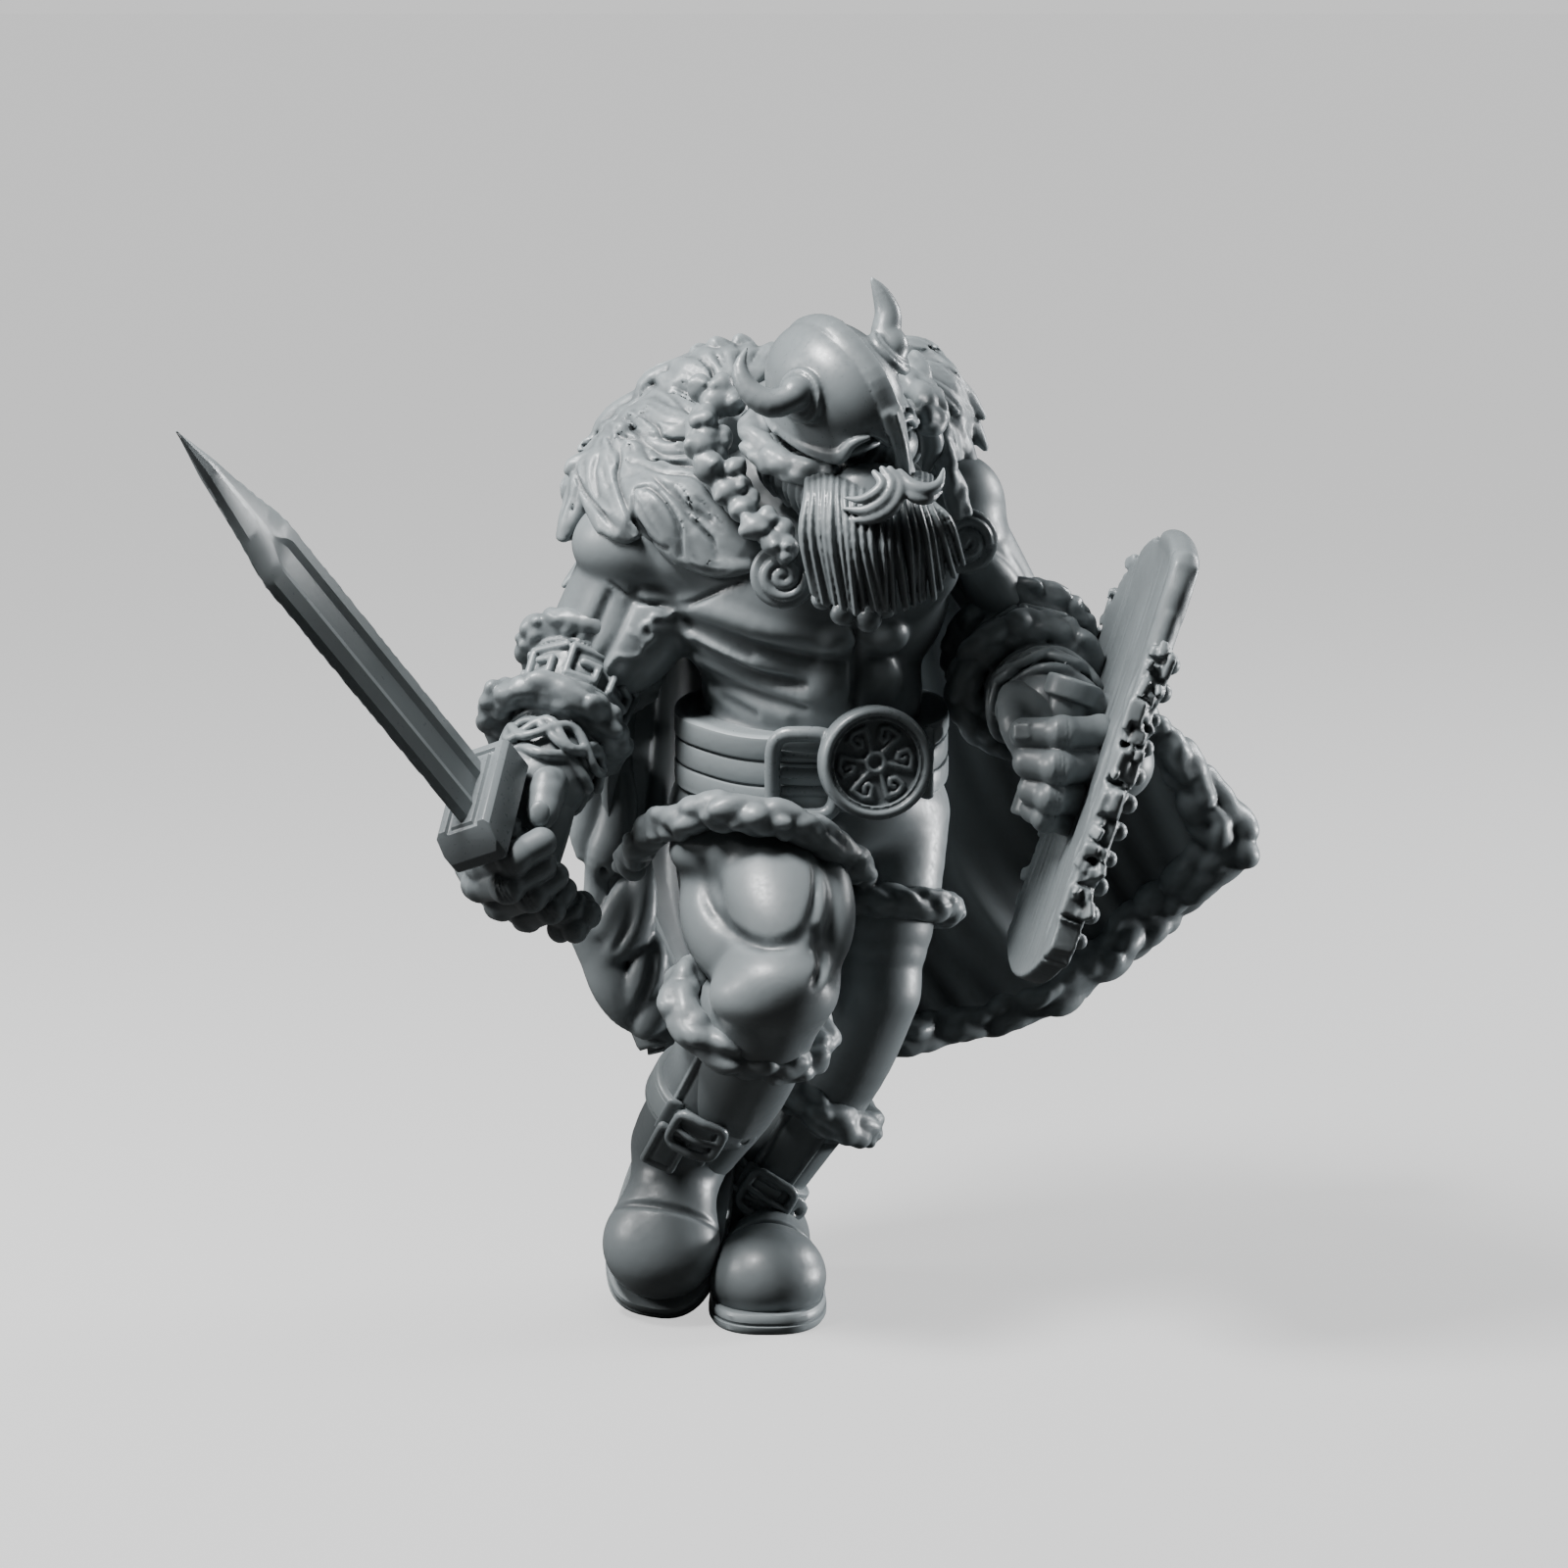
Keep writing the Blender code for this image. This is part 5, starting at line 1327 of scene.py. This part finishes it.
def cape_point(across, down, depth=1.0):
    """A point of the cape, by shares of its width and of its fall from the shoulders to the hem."""
    point = curve_at([curve_at(row, across) for row in CAPE_SPOTS], down)
    swing = math.sin(across * math.tau * 3.5 + down * 1.4) * 15 * (0.25 + down)
    swing += math.sin(across * math.tau * 11 + down * 6) * 7 * down * max(0.0, 1 - across * 4)
    fold = math.sin(across * math.tau * 8 + math.sin(down * 5 + across * 9) * 0.9) ** 3 * 5.0 * (0.3 + down)
    crease = math.sin(across * math.tau * 17 + down * 3 + math.sin(down * 7) * 0.8) * 1.6
    return point + AWAY * (swing + (fold + crease) * depth)


wide, long = 150, 96
front, back = [], []
for j in range(long + 1):
    for i in range(wide + 1):
        across, down = i / wide, j / long
        sideways = cape_point(min(across + 0.008, 1), down, 0) - cape_point(max(across - 0.008, 0), down, 0)
        falling = cape_point(across, min(down + 0.008, 1), 0) - cape_point(across, max(down - 0.008, 0), 0)
        outward = unit(np.cross(falling, sideways))
        front.append(cape_point(across, down))
        back.append(cape_point(across, down, 0.6) + outward * curve_at(CAPE_THICKNESS, across))
faces = []
other, columns = len(front), wide + 1
for j in range(long):
    for i in range(wide):
        a = j * columns + i
        b, c, d = a + 1, a + 1 + columns, a + columns
        faces += [(a, b, c, d), (other + d, other + c, other + b, other + a)]
edge = list(range(columns)) + [j * columns + wide for j in range(1, long + 1)]
edge += [long * columns + i for i in range(wide - 1, -1, -1)] + [j * columns for j in range(long - 1, 0, -1)]
for a, b in zip(edge, edge[1:] + edge[:1]):
    faces.append((b, a, other + a, other + b))
CLOTH = resin("cloth_resin", gloss=0.42, scale=1100.0, depth=0.2)
mesh = bpy.data.meshes.new("cape")
mesh.from_pydata([tuple(point * STEP) for point in front + back], [], faces)
cape = bpy.data.objects.new("cape", mesh)
bpy.context.scene.collection.objects.link(cape)
finish(cape, CLOTH, reach=12)

# The cloth bunches up in thick, torn folds behind the raised leg
folds = Clay(2.2)
bunches = (
    (((-190, 60, 90), (-194, 0, 94), (-203, -44, 96), (-204, -72, 98)), (12, 15, 13, 7)),
    (((-168, 30, 92), (-170, -40, 88), (-182, -76, 88), (-192, -98, 92)), (10, 16, 15, 4)),
    (((-190, -80, 98), (-192, -120, 98), (-200, -150, 94), (-186, -182, 96)), (10, 11, 15, 12)),
    (((-158, -92, 92), (-166, -122, 84), (-180, -146, 84), (-200, -154, 90)), (5, 13, 12, 5)),
    (((-146, -64, 96), (-144, -110, 84), (-156, -150, 82), (-184, -182, 90)), (6, 11, 16, 9)),
    (((-192, -168, 96), (-176, -204, 96), (-164, -230, 98), (-152, -250, 100)), (15, 17, 13, 5)),
    (((-142, -140, 96), (-136, -176, 88), (-146, -210, 88), (-160, -232, 94)), (5, 14, 14, 6)),
    (((-122, -186, 98), (-126, -222, 92), (-138, -246, 94), (-148, -254, 98)), (5, 12, 12, 5)),
    (((-112, -226, 104), (-116, -254, 104), (-126, -266, 106)), (8, 13, 6)),
)
for path, sizes in bunches:
    wide = [size * 1.35 for size in sizes]
    folds.strand(spots(*path), list(sizes), wide, AHEAD, melt=5, pieces=12)
for line in (
    ((-160, 10, 80), (-156, -50, 74), (-168, -96, 78)), ((-172, -168, 74), (-158, -140, 66), (-150, -90, 70)),
    ((-152, -232, 80), (-138, -200, 74), (-132, -150, 76)), ((-186, -70, 84), (-184, -100, 82), (-188, -124, 84)),
):
    folds.strand(spots(*line), [1.5, 4, 1.5], melt=7, cut=True)
cast(folds, "cape_folds", CLOTH, rounds=2)

trim = Clay(2.6)
fleece(trim, [cape_point(share, 1.0, 0) for share in (0.36, 0.5, 0.62, 0.75, 0.88, 1.0)],
       [17.0, 21.0, 24.0, 28.0, 33.0, 36.0], seed=21, lump=(0.42, 0.68))
fleece(trim, [cape_point(1.0, share, 0) for share in (1.0, 0.86, 0.7, 0.5, 0.3)],
       [36.0, 31.0, 25.0, 20.0, 15.0], seed=22, lump=(0.42, 0.68))
cast(trim, "cape_fleece", WOOL)

# The shield: a round board of planks, split off in steps along the grain at both sides, with a nailed
# rim where it is whole, an iron boss, and a stout round handle on the inner face.

SHIELD_RADIUS = 234
SHIELD_THICKNESS = 25
BOSS_RADIUS = 40
HANDLE_RADIUS = 20
board = Clay(2.2)
side = unit(np.cross(SHIELD_TOP, SHIELD_OUT))
side = side if side.dot(SHIELD_FRONT) > 0 else -side
board_axes = np.array((side, SHIELD_TOP, SHIELD_OUT))
rng = random.Random(7)


def on_board(across, along, out=0.0):
    """A point of the shield: towards its near edge, up its grain, and out of its face."""
    return SHIELD_AT + side * across + SHIELD_TOP * along + SHIELD_OUT * out


def turned(axes, spread):
    """The same three directions, tilted a little at random."""
    return axes_of(axes[2] + axes[0] * rng.uniform(-spread, spread), axes[0] + axes[1] * rng.uniform(-spread, spread))


board.disc(SHIELD_AT, board_axes, SHIELD_RADIUS - 2, SHIELD_THICKNESS / 2, 4, melt=0)
NEAR_BREAK, FAR_BREAK = 130.0, 122.0
board.block(on_board(NEAR_BREAK + 150, 112 - 220), (150, 220, 40), board_axes, corner=3, melt=2, cut=True)
board.block(on_board(-FAR_BREAK - 150, 60 - 300), (150, 300, 40), board_axes, corner=3, melt=2, cut=True)
board.block(on_board(118 + 150, 106 + 150), (150, 150, 40), board_axes, corner=4, melt=4, cut=True)
for i in range(8):
    across = -8 - i * 25
    step = math.sqrt(SHIELD_RADIUS**2 - across**2) - rng.uniform(4, 22) + 60
    board.block(on_board(across - 13, step), (14, 60, 40), turned(board_axes, 0.12), corner=2, melt=2, cut=True)
# The near edge is torn into stumps, with a gap here and there
along = 116.0
while along > -SHIELD_RADIUS * 0.84:
    tall = rng.uniform(7, 20)
    end = min(abs(along - 2 * tall) / SHIELD_RADIUS, 0.99)
    near = min(math.sqrt(1 - end**2) * SHIELD_RADIUS, NEAR_BREAK)
    for out in (-5, 5):
        stump = on_board(near + rng.uniform(-9, 3), along - tall + rng.uniform(-5, 5), out)
        board.block(stump, (rng.uniform(8, 15), tall, rng.uniform(5, 9)), turned(board_axes, 0.3), corner=3, melt=3)
    for _ in range(4):
        chip = on_board(near + rng.uniform(-2, 8), along - tall * rng.uniform(0.0, 2.0), rng.uniform(-12, 12))
        board.block(chip, (rng.uniform(3, 8), rng.uniform(4, 12), rng.uniform(2, 5)), turned(board_axes, 0.8), corner=1.8,
                    melt=1.5)
    gap = on_board(near + rng.uniform(5, 14), along - 2 * tall, rng.uniform(-7, 7))
    board.block(gap, (rng.uniform(8, 15), rng.uniform(1.5, 5), rng.uniform(7, 14)), turned(board_axes, 0.7), corner=1.2,
                melt=1.5, cut=True)
    along -= 2 * tall * rng.uniform(0.8, 1.1)
# The far edge is torn all the way, in short teeth at the top
for i in range(14):
    angle = math.radians(5 + i * 4.2)
    far = on_board(-math.sin(angle) * (SHIELD_RADIUS + 3), math.cos(angle) * (SHIELD_RADIUS + 3), rng.uniform(-6, 6))
    board.block(far, (rng.uniform(6, 13), rng.uniform(4, 9), rng.uniform(8, 16)), turned(board_axes, 0.9), corner=1.5,
                melt=1.5, cut=True)
for i in range(26):
    along = 205 - i * 16 + rng.uniform(-5, 5)
    chord = math.sqrt(max(1 - (along / SHIELD_RADIUS) ** 2, 0.02)) * SHIELD_RADIUS
    far = min(chord, FAR_BREAK + max(0.0, 60 - 5 * i))
    board.block(on_board(-far - 2, along, rng.uniform(-4, 4)), (rng.uniform(7, 14), rng.uniform(5, 10), rng.uniform(7, 12)),
                turned(board_axes, 0.5), corner=2.5, melt=2)
    board.block(on_board(-far - 10, along - 8, rng.uniform(-5, 5)), (rng.uniform(8, 16), rng.uniform(2, 4), 15),
                turned(board_axes, 0.5), corner=1.5, melt=1.5, cut=True)
top = []
for i in range(9):
    angle = math.radians(2 + i * 3.2)
    top.append(on_board(math.sin(angle) * (SHIELD_RADIUS - 9), math.cos(angle) * (SHIELD_RADIUS - 9)))
top += [on_board(112, 176), on_board(112, 150), on_board(112, 118)]
board.strand(top, 12, SHIELD_THICKNESS / 2 + 1, SHIELD_TOP, melt=3, pieces=24)
for _ in range(46):
    across, low, long = rng.uniform(-130, 128), rng.uniform(-215, 90), rng.uniform(60, 170)
    for out in (1, -1):
        groove = [on_board(across + rng.uniform(-4, 4), low + long * t, out * (SHIELD_THICKNESS / 2 + 0.6)) for t in
                  (0, 0.35, 0.7, 1)]
        board.strand(groove, [0.7, 2.0, 1.6, 0.7], melt=3, cut=True)
for _ in range(14):
    across, low = rng.uniform(96, 128), rng.uniform(-200, 60)
    for out in (-1,):
        splinter = [on_board(across + t * rng.uniform(-4, 6), low + 46 * t, out * (SHIELD_THICKNESS / 2 - 0.5)) for t in (0, 0.5, 1)]
        board.strand(splinter, [1.2, 3.2, 1.0], melt=2)
board.ball(on_board(0, 0, 14), BOSS_RADIUS, melt=3)
board.disc(on_board(0, 0, 15), axes_of(SHIELD_OUT, UPWARD), 58, 4, 2, melt=2)
for i in range(11):
    stud = on_board(122 - abs(i - 5) * 3 + rng.uniform(-5, 5), SHIELD_RADIUS * (0.44 - 0.12 * i), 17)
    board.ball(stud, rng.uniform(7, 11), melt=1.5)
cast(board, "broken_shield", resin("split_wood_resin", gloss=0.42, texture="wood", scale=900.0, depth=0.3,
                                   stretch=(1, 1, 0.12)), rounds=1, reach=8)
handle = Clay(1.8)
HANDLE_AT = SHIELD_AT - SHIELD_OUT * 48
bar = axes_of(SHIELD_TOP, SHIELD_OUT)
handle.disc(HANDLE_AT - SHIELD_TOP * 9, bar, HANDLE_RADIUS + 1, 71, 4, melt=0)
handle.disc(HANDLE_AT + SHIELD_TOP * 54, bar, 28, 11, 3, melt=2)
for along in (48, -66):
    foot = HANDLE_AT + SHIELD_TOP * along
    handle.strand([foot, foot + SHIELD_OUT * 44], 14, melt=4, pieces=1)
cast(handle, "shield_handle", resin("handle_wood_resin", gloss=0.38, texture="wood", scale=900.0, depth=0.2,
                                    stretch=(1, 1, 0.2)), rounds=1)

# Floor, light and camera
floor = bpy.data.meshes.new("floor")
floor.from_pydata([(-60, -60, 0), (60, -60, 0), (60, 60, 0), (-60, 60, 0)], [], [(0, 1, 2, 3)])
ground = bpy.data.objects.new("floor", floor)
bpy.context.scene.collection.objects.link(ground)
pale = bpy.data.materials.new("pale_floor")
pale.use_nodes = True
paint = pale.node_tree.nodes["Principled BSDF"]
paint.inputs["Roughness"].default_value = 0.9
paint.inputs["Specular IOR Level"].default_value = 0.0
paint.inputs["Emission Color"].default_value = (1, 1, 1, 1)
# The floor is pale to the eye, and throws little light back under the figure
path = pale.node_tree.nodes.new("ShaderNodeLightPath")
tone = pale.node_tree.nodes.new("ShaderNodeMix")
tone.data_type = "RGBA"
tone.inputs["A"].default_value = (0.04, 0.04, 0.04, 1)
tone.inputs["B"].default_value = (0.22, 0.22, 0.22, 1)
glow = pale.node_tree.nodes.new("ShaderNodeMath")
glow.operation = "MULTIPLY"
glow.inputs[1].default_value = 0.84
pale.node_tree.links.new(path.outputs["Is Camera Ray"], tone.inputs["Factor"])
pale.node_tree.links.new(tone.outputs["Result"], paint.inputs["Base Color"])
pale.node_tree.links.new(path.outputs["Is Camera Ray"], glow.inputs[0])
pale.node_tree.links.new(glow.outputs[0], paint.inputs["Emission Strength"])
floor.materials.append(pale)

hips = -SOLE_CENTRE * STEP
lens = bpy.data.cameras.new("front_view")
lens.lens = 36 * FRONT_DISTANCE / 1600
lens.sensor_width = 36
lens.clip_start = 0.01
view = bpy.data.objects.new("front_view", lens)
view.location = hips - AWAY * FRONT_DISTANCE * STEP
view.rotation_euler = (math.pi / 2 - FRONT_TILT, 0, 0)
bpy.context.scene.collection.objects.link(view)
bpy.context.scene.camera = view


def lamp(name, place, size, power, colour=(1, 1, 1)):
    """A soft square light that faces the figure."""
    light = bpy.data.lights.new(name, "AREA")
    light.size = size
    light.energy = power
    light.color = colour
    thing = bpy.data.objects.new(name, light)
    thing.location = hips + np.array(place)
    thing.rotation_euler = (-Vector(place)).to_track_quat("-Z", "Y").to_euler()
    bpy.context.scene.collection.objects.link(thing)


lamp("key", (-0.11, -0.05, 0.21), 0.07, 1.65)
lamp("left", (-0.25, -0.02, 0.11), 0.08, 0.5)
lamp("side", (0.28, 0.17, 0.13), 0.10, 1.2, (0.96, 0.98, 1.0))
lamp("low_rim", (0.26, 0.07, -0.03), 0.05, 1.3, (0.96, 0.98, 1.0))
world = bpy.data.worlds.new("studio")
world.use_nodes = True
air = world.node_tree
air.nodes["Background"].inputs["Color"].default_value = (1, 1, 1, 1)
eye = air.nodes.new("ShaderNodeLightPath")
dim = air.nodes.new("ShaderNodeMapRange")
dim.inputs["To Min"].default_value = 0.016
dim.inputs["To Max"].default_value = 0.88
air.links.new(eye.outputs["Is Camera Ray"], dim.inputs["Value"])
air.links.new(dim.outputs["Result"], air.nodes["Background"].inputs["Strength"])
bpy.context.scene.world = world
